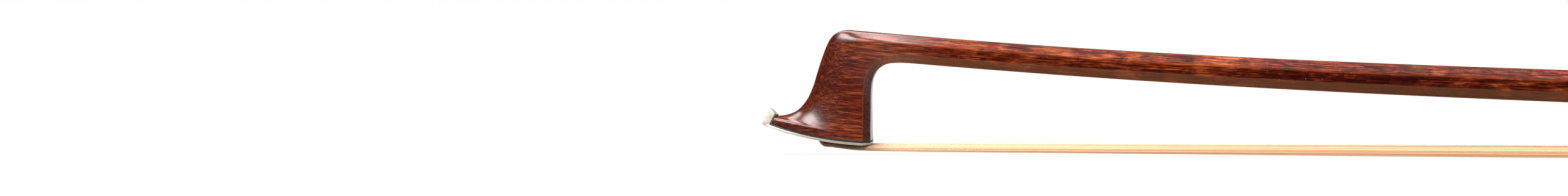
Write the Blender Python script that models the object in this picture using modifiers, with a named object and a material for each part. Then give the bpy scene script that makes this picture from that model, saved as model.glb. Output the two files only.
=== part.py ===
"""A violin bow, strung and under light tension.

Frame: metres, +Z up. +X runs along the hair from the head to the button, the hair lies below the stick.
The origin is the centre of the button's flat end, on the axis of the handle. The handle is straight and is
tilted against the hair, so the frog, the screw and the button are built along a tilted frame of their own.
"""

import math

import bmesh
import bpy
from mathutils import Matrix, Vector

MM = 0.001

# Whole bow
HEAD_REACH = 722.6 * MM  # rear face of the head, from the button's end along the hair
HANDLE_TILT = 0.0355  # slope of the straight handle against the hair
HAIR_BELOW_AXIS = 20.8 * MM  # hair's middle below the handle's axis, at the mouth of the ferrule

# Clearances
GLUE_GAP = 0.05 * MM  # glued layers
SEAT_GAP = 0.15 * MM  # pieces that are pushed or screwed together
RUN_GAP = 0.12 * MM  # pieces that slide or turn on each other
HAIR_GAP = 0.1 * MM  # hair against wood and metal
OVERCUT = 1 * MM  # how far a cutter reaches past what it cuts

# Stick
HANDLE_FLATS = 8.6 * MM
MIDDLE_FLATS = 7.5 * MM
UPPER_FLATS = 6.25 * MM
HEAD_FLATS = 5.58 * MM
FLAT_SHARE = 0.375  # width of the four main facets, as a share of the thickness across flats
# Taper: distance from the head, thickness across flats
TAPER = (
    (0.0, HEAD_FLATS),
    (30 * MM, HEAD_FLATS),
    (134 * MM, UPPER_FLATS),
    (330 * MM, MIDDLE_FLATS),
    (510 * MM, HANDLE_FLATS),
)
# Camber: distance from the head, height of the axis over the hair, slope
CAMBER = ((0.0, 20.7 * MM, -0.09), (134 * MM, 13.07 * MM, -0.0346), (272 * MM, 10.65 * MM, 0.0))
HANDLE_LENGTH = 150 * MM  # straight part, measured from the button's end
RING_STEP = 24 * MM  # greatest distance between two rings of the stick

# Button and screw
BUTTON_LENGTH = 13.6 * MM
BUTTON_FLATS = 8.2 * MM
COLLAR_RADIUS = 4.3 * MM
COLLAR_WALL = 0.6 * MM
COLLAR_EDGE = 0.35 * MM
FRONT_COLLAR_LENGTH = 2.2 * MM
REAR_COLLAR_LENGTH = 2.4 * MM
EYE_DOT_RADIUS = 2.3 * MM
EYE_DOT_DEPTH = 0.8 * MM
NIPPLE_RADIUS = 2.8 * MM
NIPPLE_LENGTH = 2.4 * MM
NIPPLE_CLEARANCE = 0.2 * MM
SCREW_END = 90 * MM  # tip of the pilot, from the button's end
SCREW_JOURNAL_RADIUS = 1.6 * MM
SCREW_SHAFT_RADIUS = 1.3 * MM
SCREW_THREAD_RADIUS = 1.5 * MM
SCREW_PILOT_RADIUS = 1.15 * MM
SCREW_JOURNAL_LENGTH = 12 * MM
SCREW_TANG_LENGTH = 7.2 * MM
SCREW_TAPER = 0.5 * MM

# Frog, along the handle
FROG_HEEL = 19.2 * MM  # outer face of the heel, from the button's end
FROG_LENGTH = 45 * MM
FROG_DEPTH = 22 * MM  # underside of the frog below the handle's axis
FROG_BASE_HALF = 6.1 * MM
FROG_WAIST_HALF = 5.3 * MM
FROG_TOP_HALF = 4.95 * MM
FROG_CHEEK = 1.9 * MM  # top edge of the frog below the handle's axis
THROAT_RADIUS = 5.2 * MM
THROAT_ARC = (112, -45)  # from the beak to the ferrule, in degrees
BEAK_DEPTH = 5.4 * MM
BEAK_SET_BACK = 2.2 * MM  # from the mouth of the ferrule
UNDERSLIDE_SET_BACK = 2.7 * MM
TONGUE_RECESS = 1.3 * MM
CHANNEL_ROOF = 17.9 * MM
CHANNEL_HALF = 5.0 * MM
UNDERSLIDE_SHEET = 0.4 * MM
HEEL_SHEET = 0.7 * MM
HEEL_PLATE_LENGTH = 8.2 * MM
HEEL_PLATE_RISE = 15.5 * MM
HEEL_SET_IN = 0.1 * MM
HEEL_EDGE = 0.15 * MM
EYE_RADIUS = 3.0 * MM
EYE_RING_WALL = 0.6 * MM
EYE_DEPTH = 0.9 * MM
EYE_PROUD = 0.05 * MM
EYE_LEVEL = 12.6 * MM

# Ferrule
FERRULE_LENGTH = 11 * MM
FERRULE_HALF = 6.5 * MM
FERRULE_TOP = 14.6 * MM
FERRULE_BOTTOM = 22.3 * MM
FERRULE_WALL = 0.5 * MM

# Slide on the underside of the frog
SLIDE_HALF = 4.5 * MM
SLIDE_BASE_DEPTH = 1.4 * MM
SLIDE_UNDERCUT = 0.35 * MM
PEARL_DEPTH = 0.9 * MM

# Eyelet and its slot in the stick
EYELET_SHARE = 0.49  # place along the frog, from the heel
EYELET_RADIUS = 2.45 * MM
EYELET_LENGTH = 4.4 * MM
EYELET_SHANK_RADIUS = 1.6 * MM
EYELET_SHANK_DEPTH = 5.0 * MM
EYELET_SHANK_SINK = 0.4 * MM  # top of the shank below the thread
SLOT_HALF = 2.65 * MM
SLOT_CLEARANCE = 1.0 * MM
TRAVEL_LOOSEN = 3.5 * MM
TRAVEL_TIGHTEN = 2.8 * MM

# Hair
HAIR_AT_HEAD_HALF = 2.75 * MM
HAIR_BEHIND_HEAD_HALF = 4.3 * MM
HAIR_AT_FROG_HALF = 5.5 * MM
HAIR_AT_HEAD_DEPTH = 1.1 * MM
HAIR_BEHIND_HEAD_DEPTH = 1.5 * MM
HAIR_FULL_DEPTH = 2.2 * MM
HAIR_FULL_REACH = 134 * MM  # from the head to where the hank is at its full depth
HAIR_SPREAD_REACH = 12 * MM  # from the head to where the hank has fanned out
HAIR_SPANS = 20
HAIR_IN_FERRULE_DEPTH = 1.5 * MM
HAIR_INTO_HEAD = 1.0 * MM  # how far the ribbon reaches into the mortise before the hidden hair takes over
HAIR_INTO_FERRULE = 0.6 * MM
HAIR_JOINT = 0.3 * MM  # room between the ribbon and the hair in the ferrule
HAIR_RIDGES = 7
RIDGE_SHARE = 0.12

# Frog mortise, plug and knot
FROG_MORTISE_HALF = 4.0 * MM
FROG_MORTISE_LENGTH = 9.5 * MM
FROG_MORTISE_SETBACK = 10.7 * MM  # heel side of the mortise, behind the middle of the frog
FROG_MORTISE_ROOF = 12.0 * MM
KNOT_RADIUS = 1.0 * MM
HAIR_LEVEL_RUN = 0.6 * MM  # how far the hair stays level past the shoulder
WEDGE_RISE = 0.9 * MM

# Grip and lapping
GRIP_LENGTH = 24 * MM
GRIP_LEATHER = 0.9 * MM
GRIP_FRONT_LEATHER = 0.5 * MM
GRIP_TO_FROG = 5.5 * MM
LAPPING_TURNS = 20
LAPPING_PITCH = 3.3 * MM
LAPPING_WIDTH = 2.7 * MM
LAPPING_DEPTH = 0.45 * MM
LAPPING_POINTS = 24
CORNER_SHARE = 0.08  # how far the leather and the strip start to bend before a corner

# Head face, plate and liner, from the rear face of the head and from the hair's middle
FACE_HEIGHT = 0.65 * MM  # underside of the plate at the rear
FACE_SLOPE = 0.02
FACE_RADIUS = 69 * MM
PLATE_SHEET = 0.5 * MM
LINER_SHEET = 0.3 * MM
NOSE_JOINT_FOOT = (-20.63 * MM, 4.9 * MM)
NOSE_JOINT_TOP = (-19.72 * MM, 6.75 * MM)
NOSE_TIP = (-22.24 * MM, 4.8 * MM)
NOSE_TOP = (-21.18 * MM, 7.7 * MM)
NOSE_BEVEL = 0.5 * MM
NOSE_CROWN = (0.45 * MM, 0.15 * MM)  # rounding behind the nose's top
NOSE_CROWN_FOOT = (-0.51 * MM, 0.68 * MM)  # its lower edge, from the top of the joint
PLATE_OVERHANG = 0.1 * MM
LINER_SET_BACK = 0.02 * MM
CHAMFER_DEPTH = 1.35 * MM
FACE_CUT_REACH = 6 * MM  # how far the cutter of the face goes past the head
REAR_FLAT_HALF = 2.5 * MM
FACE_HALF = 4.8 * MM
NOSE_HALF = 1.2 * MM

# Head mortise and plug
MORTISE_FRONT = -11.0 * MM
MORTISE_REAR = -2.6 * MM
MORTISE_HALF = 2.85 * MM
MORTISE_ROOF = 6.9 * MM
HEAD_PLUG_TOP = 4.6 * MM
PLUG_EDGE = 0.7 * MM
KNOT_CLEARANCE = 0.4 * MM

# Head stations: front x, front z, rear x, rear z, ridge half, cheek half, rear flat half, and the share of the
# head's own section. x runs from the rear face of the head, z from the hair's middle, all in millimetres.
HEAD_ROOT = 9 * MM
HEAD_STATIONS = (
    (4.6, 23.08, 5.7, 17.27, 1.04, 2.80, 1.04, 0.0),
    (0.9, 23.40, 3.35, 17.05, 1.04, 2.80, 1.05, 0.08),
    (-2.4, 23.67, 1.75, 16.18, 1.03, 2.80, 1.15, 0.25),
    (-5.2, 23.86, 0.85, 15.05, 0.98, 2.82, 1.25, 0.5),
    (-7.3, 23.18, 0.3, 13.6, 0.8, 2.87, 1.4, 0.75),
    (-8.7, 21.55, 0.08, 11.9, 0.6, 2.95, 1.5, 0.92),
    (-9.97, 18.56, 0.0, 9.9, 0.5, 3.1, 1.6, 1.0),
    (-10.96, 15.57, 0.0, 8.0, 0.5, 3.35, 1.75, 1.0),
    (-11.95, 12.4, 0.0, 6.2, 0.5, 3.7, 1.9, 1.0),
    (-13.3, 9.6, 0.0, 4.5, 0.55, 4.1, 2.1, 1.0),
    (-15.36, 7.4, 0.0, 3.2, 0.7, 4.45, 2.25, 1.0),
    (-18.4, 6.35, 0.04, 2.2, 0.95, 4.65, 2.4, 1.0),
    (-21.6, 6.3, 0.08, 1.3, 1.15, 4.75, 2.45, 1.0),
    (-22.5, 4.2, 0.1, 0.1, NOSE_HALF / MM, FACE_HALF / MM, REAR_FLAT_HALF / MM, 1.0),
)
RINGS_PER_STATION = 3

# Places that follow from the sizes above
HEAD_REAR = -HEAD_REACH
HAIR_Z = -(FROG_HEEL + FROG_LENGTH) * HANDLE_TILT - HAIR_BELOW_AXIS
TILT_ANGLE = math.atan(HANDLE_TILT)
STICK_BUTT = BUTTON_LENGTH + RUN_GAP
FROG_FRONT = FROG_HEEL + FROG_LENGTH
FROG_MIDDLE = (FROG_HEEL + FROG_FRONT) / 2
FROG_MORTISE_BACK = FROG_MIDDLE - FROG_MORTISE_SETBACK
SHOULDER = FROG_FRONT - FERRULE_LENGTH
EYELET_PLACE = FROG_HEEL + EYELET_SHARE * FROG_LENGTH
SLOT_FRONT = -EYELET_PLACE - EYELET_LENGTH / 2 - TRAVEL_LOOSEN - SLOT_CLEARANCE
SLOT_REAR = -EYELET_PLACE + EYELET_LENGTH / 2 + TRAVEL_TIGHTEN + SLOT_CLEARANCE
SLIDE_LOW = -FROG_DEPTH + PEARL_DEPTH + GLUE_GAP
SLIDE_TOP = SLIDE_LOW + SLIDE_BASE_DEPTH
SLIDE_ROOF = SLIDE_TOP + RUN_GAP
GRIP_REAR = FROG_FRONT + GRIP_TO_FROG
GRIP_FRONT = GRIP_REAR + GRIP_LENGTH


def start():
    for thing in list(bpy.data.objects):
        bpy.data.objects.remove(thing, do_unlink=True)
    scene = bpy.context.scene
    bow = bpy.data.collections.new("violin_bow")
    cutters = bpy.data.collections.new("cutters")
    scene.collection.children.link(bow)
    scene.collection.children.link(cutters)
    return bow, cutters


BOW, CUTTERS = start()


def frame(name, place, turn):
    empty = bpy.data.objects.new(name, None)
    empty.empty_display_size = 0.01
    empty.location = place
    empty.rotation_euler = turn
    BOW.objects.link(empty)
    return empty


HANDLE_FRAME = frame("handle_frame", (0, 0, 0), (0, -TILT_ANGLE, 0))
FROG_FRAME = frame("frog_frame", (0, 0, 0), (0, -TILT_ANGLE, 0))
SCREW_FRAME = frame("screw_frame", (0, 0, 0), (0, -TILT_ANGLE, 0))
HEAD_FRAME = frame("head_frame", (HEAD_REAR, 0, HAIR_Z), (0, 0, 0))

# How a flat outline lies: side is (along, up), cross is (across, up), plan is (along, across)
ALONG_Y = Matrix(((1, 0, 0), (0, 0, -1), (0, 1, 0))).to_4x4()
ALONG_X = Matrix(((0, 0, 1), (1, 0, 0), (0, 1, 0))).to_4x4()
LIES = {"side": ALONG_Y, "cross": ALONG_X, "plan": Matrix.Identity(4)}


def paint(thing, colour, roughness, metallic=0.0):
    material = bpy.data.materials.new(thing.name)
    material.use_nodes = True
    shader = material.node_tree.nodes["Principled BSDF"]
    shader.inputs["Base Color"].default_value = (*colour, 1.0)
    shader.inputs["Roughness"].default_value = roughness
    shader.inputs["Metallic"].default_value = metallic
    material.diffuse_color = (*colour, 1.0)
    thing.data.materials.clear()
    thing.data.materials.append(material)


BOW_WOOD = ((0.23, 0.055, 0.025), 0.35)
EBONY = ((0.018, 0.015, 0.014), 0.4)
BONE = ((0.78, 0.7, 0.56), 0.35)
SILVER = ((0.8, 0.79, 0.76), 0.28, 1.0)
BRASS = ((0.72, 0.53, 0.24), 0.35, 1.0)
STEEL = ((0.55, 0.55, 0.56), 0.35, 1.0)
SHELL = ((0.75, 0.78, 0.76), 0.2)
HORSEHAIR = ((0.86, 0.66, 0.42), 0.5)
THREAD = ((0.3, 0.12, 0.05), 0.8)
LEATHER = ((0.05, 0.03, 0.02), 0.6)
WHALEBONE = ((0.06, 0.045, 0.035), 0.4)
PLUG_WOOD = ((0.62, 0.45, 0.28), 0.6)


def put(thing, parent, cutter=False):
    (CUTTERS if cutter else BOW).objects.link(thing)
    thing.parent = parent
    if cutter:
        thing.hide_render = True
        thing.display_type = "WIRE"
    return thing


def close_mesh(mesh):
    """Joins points that lie together and turns the faces outwards."""
    shape = bmesh.new()
    shape.from_mesh(mesh)
    bmesh.ops.remove_doubles(shape, verts=shape.verts, dist=1e-7)
    bmesh.ops.recalc_face_normals(shape, faces=shape.faces)
    shape.to_mesh(mesh)
    shape.free()


def slab(name, outlines, thickness, lies, offset, parent, cutter=False):
    """A flat outline with any holes, made thick both ways from its plane, as a mesh."""
    curve = bpy.data.curves.new(name, "CURVE")
    curve.dimensions = "2D"
    curve.fill_mode = "BOTH"
    curve.extrude = thickness / 2
    for outline in outlines:
        spline = curve.splines.new("POLY")
        spline.points.add(len(outline) - 1)
        for point, (u, v) in zip(spline.points, outline):
            point.co = (u, v, 0, 1)
        spline.use_cyclic_u = True
    flat = bpy.data.objects.new(name + "_outline", curve)
    bpy.context.scene.collection.objects.link(flat)
    bpy.context.view_layer.update()
    mesh = bpy.data.meshes.new_from_object(flat.evaluated_get(bpy.context.evaluated_depsgraph_get()))
    bpy.data.objects.remove(flat, do_unlink=True)
    mesh.name = name
    mesh.transform(Matrix.Translation((0, 0, offset)))
    mesh.transform(LIES[lies])
    close_mesh(mesh)
    return put(bpy.data.objects.new(name, mesh), parent, cutter)


def block(name, low, high, parent, cutter=False):
    """A box between two corners."""
    shape = bmesh.new()
    bmesh.ops.create_cube(shape, size=1)
    size = [b - a for a, b in zip(low, high)]
    middle = [(a + b) / 2 for a, b in zip(low, high)]
    bmesh.ops.scale(shape, vec=size, verts=shape.verts)
    bmesh.ops.translate(shape, vec=middle, verts=shape.verts)
    mesh = bpy.data.meshes.new(name)
    shape.to_mesh(mesh)
    shape.free()
    return put(bpy.data.objects.new(name, mesh), parent, cutter)


def rod(name, radius, ends, centre, axis, parent, sides=24, cutter=False):
    """A cylinder between two places on an axis: 0 along, 1 across, 2 up."""
    shape = bmesh.new()
    bmesh.ops.create_cone(
        shape, cap_ends=True, segments=sides, radius1=radius, radius2=radius, depth=ends[1] - ends[0]
    )
    quarter = math.pi / 2
    turn = (Matrix.Rotation(quarter, 4, "Y"), Matrix.Rotation(-quarter, 4, "X"), Matrix.Identity(4))
    bmesh.ops.transform(shape, matrix=turn[axis], verts=shape.verts)
    middle = list(centre)
    middle[axis] = (ends[0] + ends[1]) / 2
    bmesh.ops.translate(shape, vec=middle, verts=shape.verts)
    mesh = bpy.data.meshes.new(name)
    shape.to_mesh(mesh)
    shape.free()
    return put(bpy.data.objects.new(name, mesh), parent, cutter)


def bore(name, radius, ends, parent, sides=20):
    """A round cutter on the handle's axis."""
    return rod(name, radius, ends, (0, 0, 0), 0, parent, sides, True)


def turned(name, profile, parent, steps=32):
    """A turned piece on the handle's axis, from a profile of (radius, place along)."""
    mesh = bpy.data.meshes.new(name)
    points = [(radius, 0, along) for radius, along in profile]
    mesh.from_pydata(points, [(i, i + 1) for i in range(len(points) - 1)], [])
    piece = put(bpy.data.objects.new(name, mesh), parent)
    piece.rotation_euler = (0, math.pi / 2, 0)
    screw = piece.modifiers.new("turn", "SCREW")
    screw.axis = "Z"
    screw.steps = steps
    screw.render_steps = steps
    screw.use_merge_vertices = True
    screw.merge_threshold = 0.00001
    return piece


def change(piece, cutter, operation="DIFFERENCE"):
    modifier = piece.modifiers.new(cutter.name, "BOOLEAN")
    modifier.operation = operation
    modifier.solver = "EXACT"
    modifier.object = cutter


def arc(centre, radius, first, last, steps):
    """Points on an arc, angles in degrees."""
    angles = [math.radians(first + (last - first) * i / steps) for i in range(steps + 1)]
    return [(centre[0] + radius * math.cos(a), centre[1] + radius * math.sin(a)) for a in angles]


def hermite(t, length, start_value, start_slope, end_value, end_slope):
    return (
        (2 * t**3 - 3 * t**2 + 1) * start_value
        + (t**3 - 2 * t**2 + t) * length * start_slope
        + (3 * t**2 - 2 * t**3) * end_value
        + (t**3 - t**2) * length * end_slope
    )


def between(table, place):
    """Reads a table of (place, value) with straight runs between its rows."""
    if place <= table[0][0]:
        return table[0][1]
    for (a, low), (b, high) in zip(table, table[1:]):
        if place <= b:
            return low + (high - low) * (place - a) / (b - a)
    return table[-1][1]


def spline(rows, t):
    """Catmull-Rom curve through rows of numbers, t from 0 to the last row."""
    i = min(int(t), len(rows) - 2)
    f = t - i
    before = rows[max(i - 1, 0)]
    after = rows[min(i + 2, len(rows) - 1)]
    out = []
    for p, a, b, n in zip(before, rows[i], rows[i + 1], after):
        square = (2 * p - 5 * a + 4 * b - n) * f**2
        cube = (3 * a - p - 3 * b + n) * f**3
        out.append(0.5 * (2 * a + (b - p) * f + square + cube))
    return out


def loft(name, rings, parent):
    """A closed solid through rings of equal point counts, with flat ends."""
    shape = bmesh.new()
    rows = [[shape.verts.new(point) for point in ring] for ring in rings]
    count = len(rows[0])
    for near, far in zip(rows, rows[1:]):
        for i in range(count):
            j = (i + 1) % count
            shape.faces.new((near[i], near[j], far[j], far[i]))
    shape.faces.new(rows[0][::-1])
    shape.faces.new(rows[-1])
    bmesh.ops.recalc_face_normals(shape, faces=shape.faces)
    mesh = bpy.data.meshes.new(name)
    shape.to_mesh(mesh)
    shape.free()
    return put(bpy.data.objects.new(name, mesh), parent)


# Stick


def stick_axis(distance):
    """World x, z and slope of the stick's axis, by distance from the head along the hair."""
    handle_start = -HANDLE_LENGTH * math.cos(TILT_ANGLE) - HEAD_REAR
    if distance >= handle_start:
        x = HEAD_REAR + distance
        return x, x * HANDLE_TILT, HANDLE_TILT
    knots = CAMBER + ((handle_start, -HANDLE_LENGTH * math.sin(TILT_ANGLE) - HAIR_Z, HANDLE_TILT),)
    for (a, za, sa), (b, zb, sb) in zip(knots, knots[1:]):
        if distance <= b:
            t = (distance - a) / (b - a)
            step = 0.001
            here = hermite(t, b - a, za, sa, zb, sb)
            ahead = hermite(t + step, b - a, za, sa, zb, sb)
            return HEAD_REAR + distance, HAIR_Z + here, (ahead - here) / (step * (b - a))


def section(front, rear, ridge, cheek, flat, share, chamfer, flats):
    """One ring of the stick or head, in the plane through the two outline points and across the bow."""
    run = (rear - front).length
    half_flat = FLAT_SHARE * flats / 2
    first = (1 - share) * (flats / 2 - half_flat) / run + share * 0.3
    last = 1 - chamfer / run
    quarters = (0.25, 0.5, 0.75, 1.0)
    places = [0.0] + [first * q for q in quarters] + [first + (last - first) * q for q in quarters]
    half = []
    for v in places:
        straight = half_flat + (flats / 2 - half_flat) * min(1.0, v / first)
        u = min(1.0, v / last)
        full = ridge + (cheek - ridge) * math.sqrt(max(0.0, 1 - (1 - u) ** 2))
        half.append((1 - share) * straight + share * full)
    places.append(1.0)
    half.append(flat)
    left = [(front.lerp(rear, v), h) for v, h in zip(places, half)]
    ring = [Vector((p.x, -h, p.y)) for p, h in left]
    return ring + [Vector((p.x, h, p.y)) for p, h in reversed(left)]


def head_rows():
    """The head's stations in world metres, from the root of the head to below its face."""
    x, z, slope = stick_axis(HEAD_ROOT)
    flats = between(TAPER, HEAD_ROOT)
    half_flat = FLAT_SHARE * flats / 2
    lean = math.atan(slope)
    up = Vector((-math.sin(lean), math.cos(lean)))
    top = Vector((x, z)) + up * flats / 2
    under = Vector((x, z)) - up * flats / 2
    rows = [(top.x, top.y, under.x, under.y, half_flat, flats / 2, half_flat, 0.0)]
    for fx, fz, rx, rz, ridge, cheek, flat, share in HEAD_STATIONS:
        rows.append(
            (
                HEAD_REAR + fx * MM,
                HAIR_Z + fz * MM,
                HEAD_REAR + rx * MM,
                HAIR_Z + rz * MM,
                ridge * MM,
                cheek * MM,
                flat * MM,
                share,
            )
        )
    return rows


def head_ring(rows, t):
    fx, fz, rx, rz, ridge, cheek, flat, share = spline(rows, t)
    front = Vector((fx, fz))
    rear = Vector((rx, rz))
    before = spline(rows, max(t - 0.05, 0))
    after = spline(rows, min(t + 0.05, len(rows) - 1))
    along = Vector((after[2] - before[2], after[3] - before[3])).normalized()
    across = Vector((-along.y, along.x))
    lean = abs((rear - front).normalized().dot(across))
    flats = between(TAPER, HEAD_ROOT)
    stick_chamfer = (1 - FLAT_SHARE) * flats / 2
    mix = min(1.0, t / 3)
    chamfer = ((1 - mix) * stick_chamfer + mix * CHAMFER_DEPTH) / lean
    share = min(1.0, max(0.0, share))
    return section(front, rear, ridge, cheek, flat, share, chamfer, flats)


def head_mortise():
    """The cutter of the head's mortise, which also opens the plate and the liner."""
    low = (MORTISE_FRONT, -MORTISE_HALF, -2 * OVERCUT)
    high = (MORTISE_REAR, MORTISE_HALF, MORTISE_ROOF)
    return block("head_mortise_cutter", low, high, HEAD_FRAME, True)


def build_stick(mortise):
    butt_x = -STICK_BUTT * math.cos(TILT_ANGLE)
    reach = butt_x - HEAD_REAR
    count = round((reach - HEAD_ROOT) / RING_STEP)
    rings = []
    for i in range(count + 1):
        distance = reach + (HEAD_ROOT - reach) * i / count
        x, z, slope = stick_axis(distance)
        lean = math.atan(slope)
        flats = between(TAPER, distance)
        up = Vector((-math.sin(lean), math.cos(lean)))
        middle = Vector((x, z))
        half = flats / 2
        half_flat = FLAT_SHARE * half
        top = middle + up * half
        under = middle - up * half
        rings.append(section(top, under, half_flat, half, half_flat, 0, half - half_flat, flats))
    rows = head_rows()
    steps = (len(rows) - 1) * RINGS_PER_STATION
    for i in range(1, steps + 1):
        rings.append(head_ring(rows, i / RINGS_PER_STATION))
    stick = loft("stick", rings, None)

    outline = below_face(PLATE_SHEET + LINER_SHEET + 2 * GLUE_GAP)
    face = slab("face_cutter", [outline], 4 * FACE_HALF, "side", 0, HEAD_FRAME, True)
    change(stick, face)
    change(stick, mortise)

    ends = (-STICK_BUTT - OVERCUT, -STICK_BUTT + NIPPLE_LENGTH)
    nipple = bore("nipple", NIPPLE_RADIUS, ends, HANDLE_FRAME, 32)
    change(stick, nipple, "UNION")
    main_bore = bore("main_bore", SCREW_JOURNAL_RADIUS + RUN_GAP, (-EYELET_PLACE, 0), HANDLE_FRAME, 24)
    ends = (-SCREW_END - OVERCUT, -EYELET_PLACE)
    pilot_bore = bore("pilot_bore", SCREW_PILOT_RADIUS + RUN_GAP, ends, HANDLE_FRAME, 24)
    low = (SLOT_FRONT, -SLOT_HALF, -HANDLE_FLATS)
    high = (SLOT_REAR, SLOT_HALF, EYELET_RADIUS + RUN_GAP)
    slot = block("slot_cutter", low, high, HANDLE_FRAME, True)
    for cutter in (main_bore, pilot_bore, slot):
        change(stick, cutter)
    paint(stick, *BOW_WOOD)


# Head fittings


def face_height(x, level):
    """Height over the hair's middle of a layer of the face: level 0 is the underside of the plate."""
    return FACE_HEIGHT + level + FACE_SLOPE * -x + x * x / (2 * FACE_RADIUS)


def nose_line(offset):
    """The joint between nose and wood, set back into the wood by an offset: a point and a direction."""
    foot = Vector(NOSE_JOINT_FOOT)
    along = (Vector(NOSE_JOINT_TOP) - foot).normalized()
    inward = Vector((along.y, -along.x))
    return foot + inward * offset, along


def nose_corner(level):
    """Where a layer of the face meets the same layer of the nose."""
    point, along = nose_line(level - PLATE_SHEET)
    for _ in range(8):
        point = point + along * (face_height(point.x, level) - point.y) / along.y
    return point


def face_run(level, last_x):
    """Points of a face layer from the rear of the head to an x near the nose."""
    stops = (0.0, 0.07, 0.2, 0.35, 0.5, 0.65, 0.8, 0.9, 1.0)
    return [Vector((last_x * s, face_height(last_x * s, level))) for s in stops]


def below_face(level):
    """Outline of all that lies below the wood of the head or in front of its nose joint."""
    corner = nose_corner(level)
    _, along = nose_line(0)
    run = [(p.x, p.y) for p in face_run(level, corner.x)]
    reach = FACE_CUT_REACH
    top = corner + along * reach
    front = corner.x - reach
    outside = [(top.x, top.y), (front, top.y), (front, -reach), (reach, -reach)]
    return [(reach, face_height(reach, level))] + run + outside


def face_half(x):
    """Half width of the face at a place from the rear of the head."""
    front = HEAD_STATIONS[-1][0] * MM
    rear = HEAD_STATIONS[-1][2] * MM
    if x > -CHAMFER_DEPTH:
        return REAR_FLAT_HALF + (FACE_HALF - REAR_FLAT_HALF) * (rear - x) / (rear + CHAMFER_DEPTH)
    u = min(1.0, max(0.0, (x - front) / (-CHAMFER_DEPTH - front)))
    return NOSE_HALF + (FACE_HALF - NOSE_HALF) * math.sqrt(1 - (1 - u) ** 2)


def sheet(name, outer, inner, halves, edge):
    """A layer with a rectangular section that follows two runs of points, narrowed by an edge."""
    rings = []
    for low, high, half in zip(outer, inner, halves):
        h = half - edge
        rings.append([(low.x, -h, low.y), (low.x, h, low.y), (high.x, h, high.y), (high.x, -h, high.y)])
    return loft(name, rings, HEAD_FRAME)


def build_liner(mortise):
    """The dark layer under the plate, which turns up behind the nose."""
    low = PLATE_SHEET + GLUE_GAP
    high = low + LINER_SHEET
    outer_corner = nose_corner(low)
    inner_corner = nose_corner(high)
    rise = Vector(NOSE_JOINT_TOP) - Vector(NOSE_JOINT_FOOT)
    outer = face_run(low, outer_corner.x)
    inner = face_run(high, inner_corner.x)
    halves = [face_half(p.x) for p in outer]
    # Share of the rise outside, the same inside, share of the width at the corner
    for outside, inside, narrow in ((0.5, 0.4, 0.93), (1.0, 0.92, 0.82)):
        outer.append(outer_corner + rise * outside)
        inner.append(inner_corner + rise * inside)
        halves.append(face_half(outer_corner.x) * narrow)
    liner = sheet("head_liner", outer, inner, halves, LINER_SET_BACK)
    change(liner, mortise)
    paint(liner, *EBONY)


def build_plate(mortise):
    """The pale plate of the face and the nose that it ends in."""
    corner = nose_corner(PLATE_SHEET)
    tip = Vector(NOSE_TIP)
    top = Vector(NOSE_TOP)
    joint_top = Vector(NOSE_JOINT_TOP)
    outer = face_run(0, tip.x + NOSE_BEVEL)
    inner = face_run(PLATE_SHEET, corner.x)
    outer[0].x += PLATE_OVERHANG
    inner[0].x += PLATE_OVERHANG
    halves = [face_half(p.x) for p in inner]
    # Share of the nose's height outside, the same inside, share of the width at the corner
    for outside, inside, narrow in ((0, 0.25, 0.97), (0.35, 0.5, 0.9), (0.75, 0.8, 0.8), (1, 1, 0.68)):
        outer.append(tip.lerp(top, outside))
        inner.append(corner.lerp(joint_top, inside))
        halves.append(face_half(corner.x) * narrow)
    outer.append(top + Vector(NOSE_CROWN))
    inner.append(joint_top + Vector(NOSE_CROWN_FOOT))
    halves.append(face_half(corner.x) * 0.55)
    plate = sheet("head_plate", outer, inner, halves, 0.0)
    change(plate, mortise)
    paint(plate, *BONE)


def build_head_plug():
    """The wooden plug that holds the hair in the head, and the bound end of the hair above it."""
    front = MORTISE_FRONT + HAIR_AT_HEAD_DEPTH + 2 * HAIR_GAP
    rear = MORTISE_REAR - SEAT_GAP
    edge = PLUG_EDGE
    outline = [
        (rear, face_height(rear, 0)),
        (rear, HEAD_PLUG_TOP),
        (front + edge, HEAD_PLUG_TOP),
        (front, HEAD_PLUG_TOP - edge),
        (front, face_height(front, 0) + edge),
        (front + edge, face_height(front + edge, 0)),
    ]
    plug = slab("head_plug", [outline], 2 * (MORTISE_HALF - SEAT_GAP), "side", 0, HEAD_FRAME)
    paint(plug, *PLUG_WOOD)

    knot_z = HEAD_PLUG_TOP + SEAT_GAP + KNOT_RADIUS
    knot_x = MORTISE_REAR - SEAT_GAP - KNOT_RADIUS
    half = MORTISE_HALF - KNOT_CLEARANCE
    knot = rod("head_knot", KNOT_RADIUS, (-half, half), (knot_x, 0, knot_z), 1, HEAD_FRAME, 16)
    paint(knot, *THREAD)


# Hair


def hair_rings(path, ridges):
    """Rings of a hank along a path of (x, z, half width, depth), with shallow ridges where its strands lie."""
    rings = []
    for i, (x, z, half, depth) in enumerate(path):
        before = path[max(i - 1, 0)]
        after = path[min(i + 1, len(path) - 1)]
        along = Vector((after[0] - before[0], after[1] - before[1])).normalized()
        up = Vector((-along.y, along.x))
        ring = []
        count = 4 * ridges
        for k in range(count):
            angle = 2 * math.pi * k / count
            c = math.cos(angle)
            s = math.sin(angle)
            y = half * math.copysign(abs(c) ** 0.75, c)
            ridge = 1 - RIDGE_SHARE * (k % 2)
            h = depth / 2 * math.copysign(abs(s) ** 0.55, s) * ridge
            ring.append((x + up.x * h, y, z + up.y * h))
        rings.append(ring)
    return rings


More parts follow.
